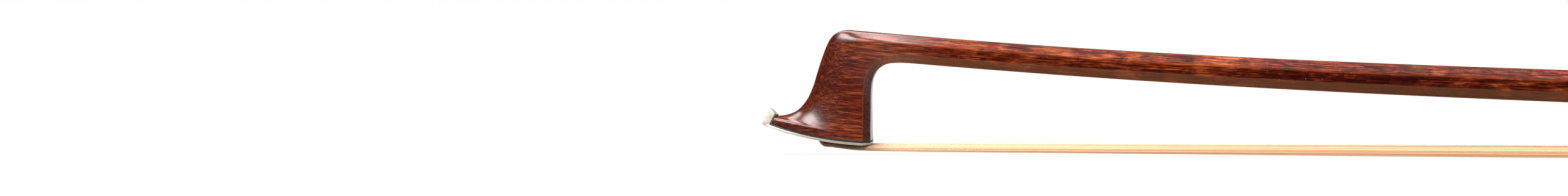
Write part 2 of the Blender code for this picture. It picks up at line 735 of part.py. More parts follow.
def build_hair():
    layer = HAIR_AT_HEAD_DEPTH
    front = MORTISE_FRONT + HAIR_GAP + layer / 2
    fold_top = face_height(front, 0) + HAIR_INTO_HEAD
    half = HAIR_AT_HEAD_HALF
    path = [(front, fold_top, half, layer)]
    # Behind the mortise's front, below the face, share of the width
    for back, drop, wide in ((0, -0.35, 1.0), (0.35, 0.35, 1.02), (1.0, 0.92, 1.06)):
        path.append((front + back * MM, face_height(front, 0) - drop * MM, half * wide, layer))
    # Under the face: place from the head's rear, share of the width, share of the depth
    for x, wide, deep in ((-8.0, 1.12, 1.0), (-6.0, 1.2, 1.0), (-3.0, 1.32, 1.06)):
        depth = layer * deep
        path.append((x * MM, face_height(x * MM, 0) - HAIR_GAP - depth / 2, half * wide, depth))
    leave, wide, deep = 0.5 * MM, half * 1.42, layer * 1.14
    path.append((leave, 0.02 * MM, wide, deep))
    inside = -FROG_FRONT * math.cos(TILT_ANGLE) - HEAD_REAR + HAIR_INTO_FERRULE
    depths = (
        (leave, deep),
        (HAIR_SPREAD_REACH, HAIR_BEHIND_HEAD_DEPTH),
        (HAIR_FULL_REACH, HAIR_FULL_DEPTH),
        (0.7 * inside, HAIR_FULL_DEPTH),
        (inside, HAIR_IN_FERRULE_DEPTH),
    )
    halves = ((leave, wide), (HAIR_SPREAD_REACH, HAIR_BEHIND_HEAD_HALF), (inside, HAIR_AT_FROG_HALF))
    places = [HAIR_SPREAD_REACH / 2, HAIR_SPREAD_REACH]
    span = (inside - HAIR_SPREAD_REACH) / HAIR_SPANS
    places += [HAIR_SPREAD_REACH + span * i for i in range(1, HAIR_SPANS + 1)]
    path += [(x, 0, between(halves, x), between(depths, x)) for x in places]
    ribbon = loft("hair_ribbon", hair_rings(path, HAIR_RIDGES), HEAD_FRAME)
    paint(ribbon, *HORSEHAIR)

    top = HEAD_PLUG_TOP + SEAT_GAP + KNOT_RADIUS
    knot_front = MORTISE_REAR - SEAT_GAP - 2 * KNOT_RADIUS
    inner_half = MORTISE_HALF - SEAT_GAP - HAIR_GAP
    path = [
        (knot_front - HAIR_GAP, top),
        (knot_front - 2.0 * MM, top + HAIR_GAP),
        (front + 1.4 * MM, top + HAIR_GAP),
        (front + 0.45 * MM, top - 0.45 * MM),
        (front, top - 1.4 * MM),
        (front, fold_top + HAIR_GAP),
    ]
    turn = loft("head_hair", hair_rings([(x, z, inner_half, layer) for x, z in path], 4), HEAD_FRAME)
    paint(turn, *HORSEHAIR)


# Frog


def octagon_corners(half, offset=0.0):
    """Corners of the stick's octagon moved outwards by an offset, anticlockwise from the lower right."""
    far = half + offset
    near = FLAT_SHARE * half + (math.sqrt(2) - 1) * offset
    quarter = [(far, -near), (far, near), (near, far), (-near, far)]
    return quarter + [(-y, -z) for y, z in quarter]


def octagon_under(offset):
    """The three lower facets of the handle, moved outwards by an offset, from left to right."""
    corners = octagon_corners(HANDLE_FLATS / 2, offset)
    return corners[5:] + corners[:1]


def frog_side():
    """Side outline of the frog's wood: along the handle, up."""
    rear = -FROG_HEEL - HEEL_SHEET - GLUE_GAP
    front = -FROG_FRONT + TONGUE_RECESS
    shoulder = -SHOULDER + GLUE_GAP
    tongue_top = -FERRULE_TOP - FERRULE_WALL - GLUE_GAP
    offset = THROAT_RADIUS * math.sqrt(0.5)
    throat = (shoulder - offset, -FERRULE_TOP + offset)
    beak = -FROG_FRONT + BEAK_SET_BACK
    plate_front = -FROG_HEEL - HEEL_PLATE_LENGTH - GLUE_GAP
    plate_level = -FROG_DEPTH + HEEL_SHEET + GLUE_GAP
    outline = [(rear, -FROG_CHEEK), (beak + 0.4 * MM, -FROG_CHEEK)]
    outline += [(beak, -BEAK_DEPTH), (beak + 1.2 * MM, -BEAK_DEPTH - 0.6 * MM)]
    outline += arc(throat, THROAT_RADIUS, *THROAT_ARC, 12)
    outline += [(shoulder, tongue_top), (front, tongue_top), (front, -CHANNEL_ROOF), (shoulder, -CHANNEL_ROOF)]
    outline += [(shoulder, -FROG_DEPTH), (plate_front, -FROG_DEPTH)]
    return outline + [(plate_front, plate_level), (rear, plate_level)]


def frog_cross():
    """Cross outline of the frog: concave sides and a seat for the lined facets of the handle."""
    seat = octagon_under(RUN_GAP + UNDERSLIDE_SHEET + GLUE_GAP)
    left = [(-FROG_TOP_HALF, -FROG_CHEEK + OVERCUT)]
    for i in range(9):
        share = i / 8
        level = -FROG_CHEEK - (FROG_DEPTH - FROG_CHEEK) * share
        waist = 4 * share * (1 - share)
        half = FROG_TOP_HALF + (FROG_BASE_HALF - FROG_TOP_HALF) * share
        straight = (FROG_TOP_HALF + FROG_BASE_HALF) / 2
        half -= (straight - FROG_WAIST_HALF) * waist
        left.append((-half, level))
    right = [(-x, z) for x, z in reversed(left)]
    rim = [(seat[3][0], OVERCUT), seat[3], seat[2], seat[1], seat[0], (seat[0][0], OVERCUT)]
    return left + right + rim


def d_outline(inset):
    """The ferrule's D: flat below, round above, drawn in by an inset."""
    half = FERRULE_HALF - inset
    bottom = -FERRULE_BOTTOM + inset
    top = -FERRULE_TOP - inset
    corner = 1.2 * MM
    spring = bottom + 2.6 * MM
    outline = [(-half + corner, bottom), (half - corner, bottom), (half, bottom + corner)]
    for i in range(13):
        angle = math.pi * i / 12
        c = math.cos(angle)
        s = math.sin(angle)
        outline.append((half * math.copysign(abs(c) ** 0.8, c), spring + (top - spring) * s**0.8))
    return outline + [(-half, bottom + corner)]


def frog_slot(name, outlines, first, last):
    """A cutter with a cross outline, between two places along the handle."""
    return slab(name, outlines, last - first, "cross", (first + last) / 2, FROG_FRAME, True)


def frog_pocket(name, first, last, roof):
    """A rectangular cutter up from the slide's groove, between two places along the handle."""
    low = (first, -FROG_MORTISE_HALF, SLIDE_ROOF - OVERCUT)
    return block(name, low, (last, FROG_MORTISE_HALF, roof), FROG_FRAME, True)


def build_frog():
    frog = slab("frog", [frog_side()], 4 * FROG_BASE_HALF, "side", 0, FROG_FRAME)
    body = frog_slot("frog_cross_cutter", [frog_cross()], -FROG_FRONT - OVERCUT, -FROG_HEEL + OVERCUT)
    change(frog, body, "INTERSECT")

    wide = 2 * FROG_BASE_HALF
    roof = -FERRULE_TOP - FERRULE_WALL
    floor = -FROG_DEPTH - wide
    around = [(-wide, floor), (wide, floor), (wide, roof), (-wide, roof)]
    tongue = frog_slot(
        "tongue_cutter",
        [around, d_outline(FERRULE_WALL + GLUE_GAP)],
        -FROG_FRONT - OVERCUT,
        -SHOULDER + GLUE_GAP,
    )
    half = SLIDE_HALF + RUN_GAP
    dovetail = half + SLIDE_UNDERCUT
    face = -FROG_DEPTH + PEARL_DEPTH
    groove_outline = [(-half, -FROG_DEPTH - OVERCUT), (half, -FROG_DEPTH - OVERCUT), (half, face)]
    groove_outline += [(dovetail, SLIDE_ROOF), (-dovetail, SLIDE_ROOF), (-half, face)]
    plate_front = -FROG_HEEL - HEEL_PLATE_LENGTH - GLUE_GAP
    groove = frog_slot("groove_cutter", [groove_outline], -SHOULDER - 3 * OVERCUT, plate_front)
    front = -FROG_MORTISE_BACK - FROG_MORTISE_LENGTH
    channel_ends = (-SHOULDER - 2 * OVERCUT, -FROG_MORTISE_BACK - HAIR_GAP)
    channel = frog_pocket("channel_cutter", *channel_ends, -CHANNEL_ROOF)
    mortise = frog_pocket("frog_mortise_cutter", front, -FROG_MORTISE_BACK, -FROG_MORTISE_ROOF)
    shank = rod(
        "shank_cutter",
        EYELET_SHANK_RADIUS + GLUE_GAP,
        (-HANDLE_FLATS / 2 - EYELET_SHANK_DEPTH - SEAT_GAP, 0),
        (-EYELET_PLACE, 0, 0),
        2,
        FROG_FRAME,
        16,
        True,
    )
    for cutter in (tongue, groove, channel, mortise, shank):
        change(frog, cutter)
    build_eyes(frog)
    paint(frog, *EBONY)

    lining = bpy.data.meshes.new("underslide")
    run = octagon_under(RUN_GAP)
    ends = (-FROG_FRONT + UNDERSLIDE_SET_BACK, -FROG_HEEL - HEEL_SHEET - GLUE_GAP)
    points = [(x, y, z) for x in ends for y, z in run]
    lining.from_pydata(points, [], [(i, i + 1, i + 5, i + 4) for i in range(3)])
    underslide = put(bpy.data.objects.new("underslide", lining), FROG_FRAME)
    thick = underslide.modifiers.new("sheet", "SOLIDIFY")
    thick.thickness = UNDERSLIDE_SHEET
    thick.offset = 1
    thick.use_even_offset = True
    change(underslide, shank)
    paint(underslide, *SILVER)

    walls = [d_outline(0), d_outline(FERRULE_WALL)]
    ferrule = slab("ferrule", walls, FERRULE_LENGTH, "cross", -SHOULDER - FERRULE_LENGTH / 2, FROG_FRAME)
    paint(ferrule, *SILVER)


def build_eyes(frog):
    """A shell disc in a metal ring, let into each side of the frog."""
    middle = (-FROG_MIDDLE, 0, -EYE_LEVEL)
    hole_radius = EYE_RADIUS + GLUE_GAP
    ring_radius = hole_radius + EYE_RING_WALL
    pocket_floor = FROG_WAIST_HALF - EYE_DEPTH
    floor = pocket_floor + GLUE_GAP
    face = FROG_WAIST_HALF + EYE_PROUD
    for side, word in ((-1, "left"), (1, "right")):

        def disc(name, radius, low, high, cutter=False):
            ends = sorted((side * low, side * high))
            return rod(name + word, radius, ends, middle, 1, FROG_FRAME, 32, cutter)

        change(frog, disc("eye_pocket_", ring_radius + GLUE_GAP, pocket_floor, face + OVERCUT, True))
        ring = disc("eye_ring_", ring_radius, floor, face)
        change(ring, disc("eye_hole_", hole_radius, floor - OVERCUT, face + OVERCUT, True))
        eye = disc("eye_", EYE_RADIUS, floor, face)
        paint(ring, *SILVER)
        paint(eye, *SHELL)


def build_frog_plates():
    """The pearl slide on its wooden base, and the two plates of the heel."""
    rear = -FROG_HEEL - HEEL_PLATE_LENGTH - GLUE_GAP - RUN_GAP
    front = -SHOULDER + RUN_GAP
    half = SLIDE_HALF
    dovetail = SLIDE_HALF + SLIDE_UNDERCUT
    outline = [(-half, SLIDE_LOW), (half, SLIDE_LOW), (dovetail, SLIDE_TOP), (-dovetail, SLIDE_TOP)]
    base = slab("slide_base", [outline], rear - front, "cross", (rear + front) / 2, FROG_FRAME)
    paint(base, *EBONY)
    low = (front, -half, -FROG_DEPTH)
    pearl = block("pearl_slide", low, (rear, half, -FROG_DEPTH + PEARL_DEPTH), FROG_FRAME)
    paint(pearl, *SHELL)

    foot = FROG_BASE_HALF - HEEL_SET_IN
    head = FROG_WAIST_HALF - 3 * HEEL_SET_IN
    crown = -FROG_DEPTH + HEEL_PLATE_RISE
    low = (-FROG_HEEL - HEEL_PLATE_LENGTH, -foot, -FROG_DEPTH)
    high = (-FROG_HEEL - HEEL_SHEET - GLUE_GAP, foot, -FROG_DEPTH + HEEL_SHEET)
    lower = block("heel_plate_lower", low, high, FROG_FRAME)
    paint(lower, *SILVER)
    outline = [(-foot, -FROG_DEPTH), (foot, -FROG_DEPTH), (head, crown), (-head, crown)]
    upper = slab("heel_plate_upper", [outline], HEEL_SHEET, "cross", -FROG_HEEL - HEEL_SHEET / 2, FROG_FRAME)
    round_edges = upper.modifiers.new("edges", "BEVEL")
    round_edges.width = HEEL_EDGE
    round_edges.segments = 1
    paint(upper, *SILVER)


def build_frog_inside():
    rear = -FROG_MORTISE_BACK
    front = rear - FROG_MORTISE_LENGTH
    layer = HAIR_AT_HEAD_DEPTH
    hair_level = SLIDE_ROOF + HAIR_GAP + layer / 2
    plug_low = hair_level + layer / 2 + HAIR_GAP
    plug_top = -FROG_MORTISE_ROOF - 2 * KNOT_RADIUS - 2 * SEAT_GAP
    plug_rear = rear - layer - 2 * HAIR_GAP
    outline = [
        (front + SEAT_GAP, plug_low),
        (front + SEAT_GAP, plug_top),
        (plug_rear - PLUG_EDGE, plug_top),
        (plug_rear, plug_top - PLUG_EDGE),
        (plug_rear, plug_low + PLUG_EDGE),
        (plug_rear - PLUG_EDGE, plug_low),
    ]
    plug = slab("frog_plug", [outline], 2 * (FROG_MORTISE_HALF - SEAT_GAP), "side", 0, FROG_FRAME)
    paint(plug, *PLUG_WOOD)
    knot_half = FROG_MORTISE_HALF - KNOT_CLEARANCE
    knot_x = front + SEAT_GAP + KNOT_RADIUS
    knot_z = plug_top + SEAT_GAP + KNOT_RADIUS
    knot = rod("frog_knot", KNOT_RADIUS, (-knot_half, knot_half), (knot_x, 0, knot_z), 1, FROG_FRAME, 16)
    paint(knot, *THREAD)

    half = FROG_MORTISE_HALF - SEAT_GAP - HAIR_GAP
    back = rear - HAIR_GAP - layer / 2
    bend = 1.3 * MM
    cut = 0.4 * MM
    path = [
        (knot_x + KNOT_RADIUS + HAIR_GAP, knot_z),
        (back - bend, knot_z),
        (back - cut, knot_z - cut),
        (back, knot_z - bend),
        (back, hair_level + bend),
        (back - cut, hair_level + cut),
        (back - bend, hair_level),
        (front, hair_level),
        (-SHOULDER - HAIR_LEVEL_RUN, hair_level),
    ]
    path = [(x, z, half, layer) for x, z in path]
    wedge_rear = -SHOULDER - FERRULE_LENGTH * 0.4
    path.append((wedge_rear, -HAIR_BELOW_AXIS + 0.35 * MM, half * 1.15, layer))
    mouth = -FROG_FRONT + HAIR_INTO_FERRULE + HAIR_JOINT
    path.append((mouth, -HAIR_BELOW_AXIS, HAIR_AT_FROG_HALF, HAIR_IN_FERRULE_DEPTH))
    hair = loft("frog_hair", hair_rings(path, HAIR_RIDGES), FROG_FRAME)
    paint(hair, *HORSEHAIR)

    wedge_front = -FROG_FRONT + TONGUE_RECESS
    roof = -CHANNEL_ROOF - SEAT_GAP
    floor = -HAIR_BELOW_AXIS + HAIR_IN_FERRULE_DEPTH / 2 + HAIR_GAP + SEAT_GAP
    outline = [(wedge_front, floor), (wedge_front, roof), (wedge_rear, roof), (wedge_rear, floor + WEDGE_RISE)]
    wedge = slab("spread_wedge", [outline], 2 * (CHANNEL_HALF - SEAT_GAP), "side", 0, FROG_FRAME)
    paint(wedge, *PLUG_WOOD)

    ends = (-EYELET_PLACE - EYELET_LENGTH / 2, -EYELET_PLACE + EYELET_LENGTH / 2)
    eyelet = rod("eyelet", EYELET_RADIUS, ends, (0, 0, 0), 0, FROG_FRAME)
    shank = rod(
        "eyelet_shank",
        EYELET_SHANK_RADIUS,
        (-HANDLE_FLATS / 2 - EYELET_SHANK_DEPTH, -SCREW_THREAD_RADIUS - EYELET_SHANK_SINK),
        (-EYELET_PLACE, 0, 0),
        2,
        FROG_FRAME,
        16,
        True,
    )
    thread = bore(
        "eyelet_thread",
        SCREW_THREAD_RADIUS + RUN_GAP,
        (-EYELET_PLACE - EYELET_LENGTH, -EYELET_PLACE + EYELET_LENGTH),
        FROG_FRAME,
        24,
    )
    change(eyelet, shank, "UNION")
    change(eyelet, thread)
    paint(eyelet, *BRASS)


# Screw and button


def build_screw():
    tang_start = -BUTTON_LENGTH + NIPPLE_LENGTH + NIPPLE_CLEARANCE
    tang_end = tang_start + SCREW_TANG_LENGTH
    journal_front = -STICK_BUTT - SCREW_JOURNAL_LENGTH
    profile = [
        (0, tang_end),
        (SCREW_SHAFT_RADIUS, tang_end),
        (SCREW_SHAFT_RADIUS, tang_start),
        (SCREW_JOURNAL_RADIUS, tang_start),
        (SCREW_JOURNAL_RADIUS, journal_front),
        (SCREW_SHAFT_RADIUS, journal_front - SCREW_TAPER),
        (SCREW_SHAFT_RADIUS, SLOT_REAR + SCREW_TAPER),
        (SCREW_THREAD_RADIUS, SLOT_REAR),
        (SCREW_THREAD_RADIUS, SLOT_FRONT + RUN_GAP),
        (SCREW_PILOT_RADIUS, SLOT_FRONT + RUN_GAP),
        (SCREW_PILOT_RADIUS, -SCREW_END + SCREW_TAPER),
        (SCREW_PILOT_RADIUS / 2, -SCREW_END),
        (0, -SCREW_END),
    ]
    screw = turned("screw", profile, SCREW_FRAME, 20)
    paint(screw, *STEEL)

    spigot = COLLAR_RADIUS - COLLAR_WALL - GLUE_GAP
    core_front = -BUTTON_LENGTH + FRONT_COLLAR_LENGTH + GLUE_GAP
    core_rear = -REAR_COLLAR_LENGTH - GLUE_GAP
    recess = NIPPLE_RADIUS + NIPPLE_CLEARANCE
    dot_seat = -EYE_DOT_DEPTH - GLUE_GAP
    eight = octagon_corners(BUTTON_FLATS / 2)
    core_middle = (core_rear + core_front) / 2
    core = slab("button_core", [eight], core_rear - core_front, "cross", core_middle, SCREW_FRAME)
    # Name, radius, ends
    spigots = (
        ("front_spigot", spigot, (-BUTTON_LENGTH + GLUE_GAP, core_front + OVERCUT)),
        ("rear_spigot", spigot, (core_rear - OVERCUT, dot_seat)),
    )
    rooms = (
        ("nipple_room", recess, (-BUTTON_LENGTH - OVERCUT, tang_start - SEAT_GAP)),
        ("journal_room", SCREW_JOURNAL_RADIUS + GLUE_GAP, (-BUTTON_LENGTH, tang_start + GLUE_GAP)),
        ("tang_room", SCREW_SHAFT_RADIUS + GLUE_GAP, (tang_start - OVERCUT, tang_end + GLUE_GAP)),
    )
    for rows, operation in ((spigots, "UNION"), (rooms, "DIFFERENCE")):
        for name, radius, ends in rows:
            change(core, bore(name, radius, ends, SCREW_FRAME, 32), operation)
    paint(core, *EBONY)

    inner = COLLAR_RADIUS - COLLAR_WALL
    soft = COLLAR_EDGE
    front = turned(
        "button_front_collar",
        [
            (inner, -BUTTON_LENGTH + FRONT_COLLAR_LENGTH),
            (COLLAR_RADIUS - soft, -BUTTON_LENGTH + FRONT_COLLAR_LENGTH),
            (COLLAR_RADIUS, -BUTTON_LENGTH + FRONT_COLLAR_LENGTH - soft),
            (COLLAR_RADIUS, -BUTTON_LENGTH + soft),
            (COLLAR_RADIUS - soft, -BUTTON_LENGTH),
            (inner, -BUTTON_LENGTH),
            (inner, -BUTTON_LENGTH + FRONT_COLLAR_LENGTH),
        ],
        SCREW_FRAME,
    )
    paint(front, *SILVER)
    rear = turned(
        "button_rear_collar",
        [
            (EYE_DOT_RADIUS + GLUE_GAP, 0),
            (COLLAR_RADIUS - 2 * soft, 0),
            (COLLAR_RADIUS, -2 * soft),
            (COLLAR_RADIUS, -REAR_COLLAR_LENGTH + soft),
            (COLLAR_RADIUS - soft, -REAR_COLLAR_LENGTH),
            (inner, -REAR_COLLAR_LENGTH),
            (inner, dot_seat + GLUE_GAP),
            (EYE_DOT_RADIUS + GLUE_GAP, dot_seat + GLUE_GAP),
            (EYE_DOT_RADIUS + GLUE_GAP, 0),
        ],
        SCREW_FRAME,
    )
    paint(rear, *SILVER)
    dot = rod("button_eye", EYE_DOT_RADIUS, (-EYE_DOT_DEPTH, 0), (0, 0, 0), 0, SCREW_FRAME, 32)
    paint(dot, *SHELL)


# Grip and lapping


def build_grip():
    """A leather sleeve round the stick, thinned towards its ends."""
    stops = (
        (GRIP_REAR, 0.7 * GRIP_LEATHER),
        (GRIP_REAR + 0.8 * MM, GRIP_LEATHER),
        (GRIP_FRONT - 3 * MM, 0.9 * GRIP_LEATHER),
        (GRIP_FRONT, GRIP_FRONT_LEATHER),
    )
    shape = bmesh.new()
    outer = [[shape.verts.new(p) for p in sleeve_ring(place, SEAT_GAP + leather)] for place, leather in stops]
    inner = [[shape.verts.new(p) for p in sleeve_ring(place, SEAT_GAP)] for place, _ in stops]
    count = len(outer[0])
    for rows in (outer, inner):
        for near, far in zip(rows, rows[1:]):
            for i in range(count):
                j = (i + 1) % count
                shape.faces.new((near[i], near[j], far[j], far[i]))
    for end in (0, -1):
        for i in range(count):
            j = (i + 1) % count
            shape.faces.new((outer[end][i], outer[end][j], inner[end][j], inner[end][i]))
    bmesh.ops.recalc_face_normals(shape, faces=shape.faces)
    mesh = bpy.data.meshes.new("thumb_grip")
    shape.to_mesh(mesh)
    shape.free()
    grip = put(bpy.data.objects.new("thumb_grip", mesh), HANDLE_FRAME)
    paint(grip, *LEATHER)


def sleeve_ring(place, offset):
    """A ring round the handle with its corners softened, at a place from the button's end."""
    corners = octagon_corners(HANDLE_FLATS / 2, offset)
    ring = []
    for i, corner in enumerate(corners):
        before = Vector(corners[i - 1])
        after = Vector(corners[(i + 1) % 8])
        here = Vector(corner)
        ring += [here.lerp(before, CORNER_SHARE), here.lerp(after, CORNER_SHARE)]
    return [(-place, p.x, p.y) for p in ring]


def wound_point(step, offset):
    """A point of the winding and its share of the turn: three points on each facet, at an offset from it."""
    corners = octagon_corners(HANDLE_FLATS / 2, offset)
    side = step // 3 % 8
    share = (CORNER_SHARE, 0.5, 1 - CORNER_SHARE)[step % 3]
    point = Vector(corners[side]).lerp(Vector(corners[(side + 1) % 8]), share)
    return point, (step // 3 + share) / 8


def build_lapping():
    """A flat strip wound round the stick, each turn clear of the next."""
    rings = []
    centres = []
    half = LAPPING_WIDTH / 2
    start = GRIP_FRONT + SEAT_GAP + half
    for step in range(LAPPING_TURNS * LAPPING_POINTS + 1):
        low, turns = wound_point(step, SEAT_GAP)
        high, _ = wound_point(step, SEAT_GAP + LAPPING_DEPTH)
        along = -(start + turns * LAPPING_PITCH)
        under = [(along - half, low.x, low.y), (along + half, low.x, low.y)]
        rings.append(under + [(along + half, high.x, high.y), (along - half, high.x, high.y)])
        centres.append(along)
    gap = min(abs(b - a) for a, b in zip(centres, centres[LAPPING_POINTS:])) - LAPPING_WIDTH
    print(f"lapping: least gap between its turns {gap / MM:.2f} mm")
    lapping = loft("lapping", rings, HANDLE_FRAME)
    paint(lapping, *WHALEBONE)


MORTISE = head_mortise()
build_stick(MORTISE)
build_liner(MORTISE)
build_plate(MORTISE)
build_head_plug()
build_hair()
build_frog()
build_frog_plates()
build_frog_inside()
build_screw()
build_grip()
build_lapping()
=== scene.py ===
import math

import bmesh
import bpy
import numpy as np
from mathutils import Matrix, Vector, noise


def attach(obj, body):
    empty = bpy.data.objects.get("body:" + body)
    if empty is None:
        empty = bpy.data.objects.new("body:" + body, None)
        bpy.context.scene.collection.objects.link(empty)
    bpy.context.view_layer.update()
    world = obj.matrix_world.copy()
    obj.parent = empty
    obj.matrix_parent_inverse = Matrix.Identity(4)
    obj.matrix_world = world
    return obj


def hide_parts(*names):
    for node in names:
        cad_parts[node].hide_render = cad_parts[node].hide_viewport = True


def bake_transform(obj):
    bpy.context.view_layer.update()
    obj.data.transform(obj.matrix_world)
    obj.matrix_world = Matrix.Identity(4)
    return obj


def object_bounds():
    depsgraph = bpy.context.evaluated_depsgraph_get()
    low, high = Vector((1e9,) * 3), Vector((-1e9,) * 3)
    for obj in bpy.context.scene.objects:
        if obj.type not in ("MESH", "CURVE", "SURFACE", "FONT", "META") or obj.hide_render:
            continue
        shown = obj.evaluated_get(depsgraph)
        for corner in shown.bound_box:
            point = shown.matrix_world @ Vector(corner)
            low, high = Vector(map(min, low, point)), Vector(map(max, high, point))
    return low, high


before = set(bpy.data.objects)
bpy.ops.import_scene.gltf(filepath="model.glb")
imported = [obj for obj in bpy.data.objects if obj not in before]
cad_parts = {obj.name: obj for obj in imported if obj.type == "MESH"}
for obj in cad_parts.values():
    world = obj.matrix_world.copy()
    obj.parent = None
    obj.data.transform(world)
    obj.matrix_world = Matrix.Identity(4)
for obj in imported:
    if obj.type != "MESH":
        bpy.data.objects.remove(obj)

CAD_BOX = [list(corner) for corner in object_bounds()]

# Camera. It looks across the bow at its head, from 0.6 m to the side and a little above, through a long
# lens. Its place and turn follow from how the head, the taper of the stick and the level of the hair lie in
# the picture.
MM = 0.001
EYE = Vector((-654.5, -600.0, 27.7)) * MM
YAW = math.radians(-8.169)
PITCH = math.radians(-3.851)
ROLL = math.radians(-0.322)
FOCAL_LENGTH = 68.17


def stand(name, thing):
    """Stands a camera, a lamp or a piece in the scene."""
    item = bpy.data.objects.new(name, thing)
    bpy.context.scene.collection.objects.link(item)
    return item


lens = bpy.data.cameras.new("camera")
lens.sensor_width = 36
lens.lens = FOCAL_LENGTH
lens.clip_start = 0.01
lens.clip_end = 50
camera = stand("camera", lens)
sight = Vector((math.sin(YAW) * math.cos(PITCH), math.cos(YAW) * math.cos(PITCH), math.sin(PITCH)))
level_right = sight.cross(Vector((0, 0, 1))).normalized()
level_up = level_right.cross(sight)
right = level_right * math.cos(ROLL) + level_up * math.sin(ROLL)
up = level_up * math.cos(ROLL) - level_right * math.sin(ROLL)
camera.matrix_world = Matrix((right, up, -sight)).transposed().to_4x4()
camera.location = EYE
bpy.context.scene.camera = camera

# Table. A wide sheet of opal acrylic just under the bow. It is lit from below, so it burns out to white and
# takes hardly any shadow.
TABLE_LEVEL = CAD_BOX[0][2] - 0.02 * MM
TABLE_REACH = 9.0


class Tone:
    """A number that runs through a finish. Arithmetic on it adds the Math nodes that work it out."""

    def __init__(self, finish, socket):
        self.finish = finish
        self.socket = socket

    def math(self, operation, *others):
        return self.finish.node("ShaderNodeMath", {"operation": operation}, dict(enumerate((self,) + others)))

    def __add__(self, other):
        return self.math("ADD", other)

    __radd__ = __add__

    def __mul__(self, other):
        return self.math("MULTIPLY", other)

    __rmul__ = __mul__

    def __sub__(self, other):
        return self.math("SUBTRACT", other)

    def __rsub__(self, other):
        return self * -1 + other

    def above(self, low, high):
        """0 below one value, 1 above another, and an even rise between them."""
        settings = {"interpolation_type": "SMOOTHSTEP"}
        return self.finish.node("ShaderNodeMapRange", settings, {0: self, 1: low, 2: high})


class Finish:
    """A material. Every node is added by node(), its settings first and then its sockets."""

    def __init__(self, name, **constants):
        self.material = bpy.data.materials.new(name)
        self.material.use_nodes = True
        self.tree = self.material.node_tree
        self.shader = self.tree.nodes["Principled BSDF"]
        for socket, value in constants.items():
            self.shader.inputs[socket.replace("_", " ")].default_value = value

    def node(self, kind, settings=None, sockets=None, out=0):
        node = self.tree.nodes.new(kind)
        for name, value in (settings or {}).items():
            if name == "stops":
                stops = node.color_ramp.elements
                while len(stops) < len(value):
                    stops.new(0.5)
                for stop, (place, colour) in zip(stops, value):
                    stop.position = place
                    stop.color = (*colour, 1.0)
            else:
                setattr(node, name, value)
        for name, value in (sockets or {}).items():
            self.feed(node.inputs[name], value)
        return Tone(self, node.outputs[out])

    def feed(self, socket, value):
        if isinstance(value, Tone):
            self.tree.links.new(value.socket, socket)
        elif socket.type == "RGBA" and len(value) == 3:
            socket.default_value = (*value, 1.0)
        else:
            socket.default_value = value

    def set(self, **sockets):
        for name, value in sockets.items():
            self.feed(self.shader.inputs[name.replace("_", " ")], value)

    def place(self):
        """Where a point lies in the bow's own frame."""
        return self.node("ShaderNodeTexCoord", out=3)

    def kept(self, name, out=2):
        """A number that is kept with each point of the mesh, or a vector with out=1."""
        return self.node("ShaderNodeAttribute", {"attribute_name": name}, out=out)

    def stretch(self, place, scale, turn=(0, 0, 0)):
        return self.node("ShaderNodeMapping", None, {0: place, 2: turn, 3: scale})

    def cloud(self, place, scale, detail=3.0, rough=0.5, warp=0.0, turn=(0, 0, 0)):
        """A soft pattern, even all ways, or drawn out by a scale of three numbers."""
        if isinstance(scale, tuple):
            place, scale = self.stretch(place, scale, turn), 1.0
        return self.node("ShaderNodeTexNoise", None, {0: place, 2: scale, 3: detail, 4: rough, 8: warp})

    def blend(self, share, low, high):
        settings = {"data_type": "RGBA", "clamp_factor": True}
        return self.node("ShaderNodeMix", settings, {0: share, 6: low, 7: high}, out=2)

    def over(self, colour, *coats):
        """Coats laid over a colour one after the other, each from its share and its own colour."""
        for share, tone in coats:
            colour = self.blend(share, colour, tone)
        return colour

    def ramp(self, value, *stops):
        return self.node("ShaderNodeValToRGB", {"stops": stops}, {0: value})

    def surface(self, colour, roughness, relief, **others):
        """What a finish shows. Its relief is a height, a strength and a depth in metres."""
        height, strength, depth = relief
        bump = self.node("ShaderNodeBump", None, {"Strength": strength, "Distance": depth, "Height": height})
        self.set(Base_Color=colour, Roughness=roughness, Normal=bump, **others)


acrylic = Finish("opal_acrylic", Roughness=0.9, Specular_IOR_Level=0.05, Emission_Strength=0.95)
acrylic.set(Base_Color=(0.03, 0.03, 0.03), Emission_Color=(1.0, 1.0, 1.0))
table_mesh = bpy.data.meshes.new("table")
corners = [(x * TABLE_REACH, y * TABLE_REACH, TABLE_LEVEL) for x, y in ((-1, -1), (1, -1), (1, 1), (-1, 1))]
table_mesh.from_pydata(corners, [], [(0, 1, 2, 3)])
table_mesh.materials.append(acrylic.material)
table = stand("table", table_mesh)

# Light. A long softbox hangs over the bow, a little behind it, and a smaller one stands high in front at
# the left, for the head. The room gives a dim even light, and shows as white behind everything.
ROOM_GREY = 0.05


def softbox(name, place, aim, size, power):
    lamp = bpy.data.lights.new(name, "AREA")
    lamp.shape = "RECTANGLE"
    lamp.size, lamp.size_y = size
    lamp.energy = power
    box = stand(name, lamp)
    box.location = place
    box.rotation_euler = (Vector(aim) - Vector(place)).to_track_quat("-Z", "Y").to_euler()


softbox("overhead", (-0.42, 0.1, 0.95), (-0.42, 0.1, 0.0), (2.2, 0.5), 42)
softbox("left_front", (-1.18, -0.76, 0.85), (-0.73, 0.0, 0.0), (0.5, 0.5), 17)

room = bpy.data.worlds.new("room")
room.use_nodes = True
sky = room.node_tree.nodes["Background"]
sky.inputs["Color"].default_value = (1.0, 1.0, 1.0, 1.0)
ray = room.node_tree.nodes.new("ShaderNodeLightPath")
level = room.node_tree.nodes.new("ShaderNodeMapRange")
level.inputs["To Min"].default_value = ROOM_GREY
level.inputs["To Max"].default_value = 1.0
room.node_tree.links.new(ray.outputs["Is Camera Ray"], level.inputs["Value"])
room.node_tree.links.new(level.outputs["Result"], sky.inputs["Strength"])
bpy.context.scene.world = room
bpy.context.scene.view_settings.view_transform = "Standard"
bpy.context.scene.view_settings.look = "None"

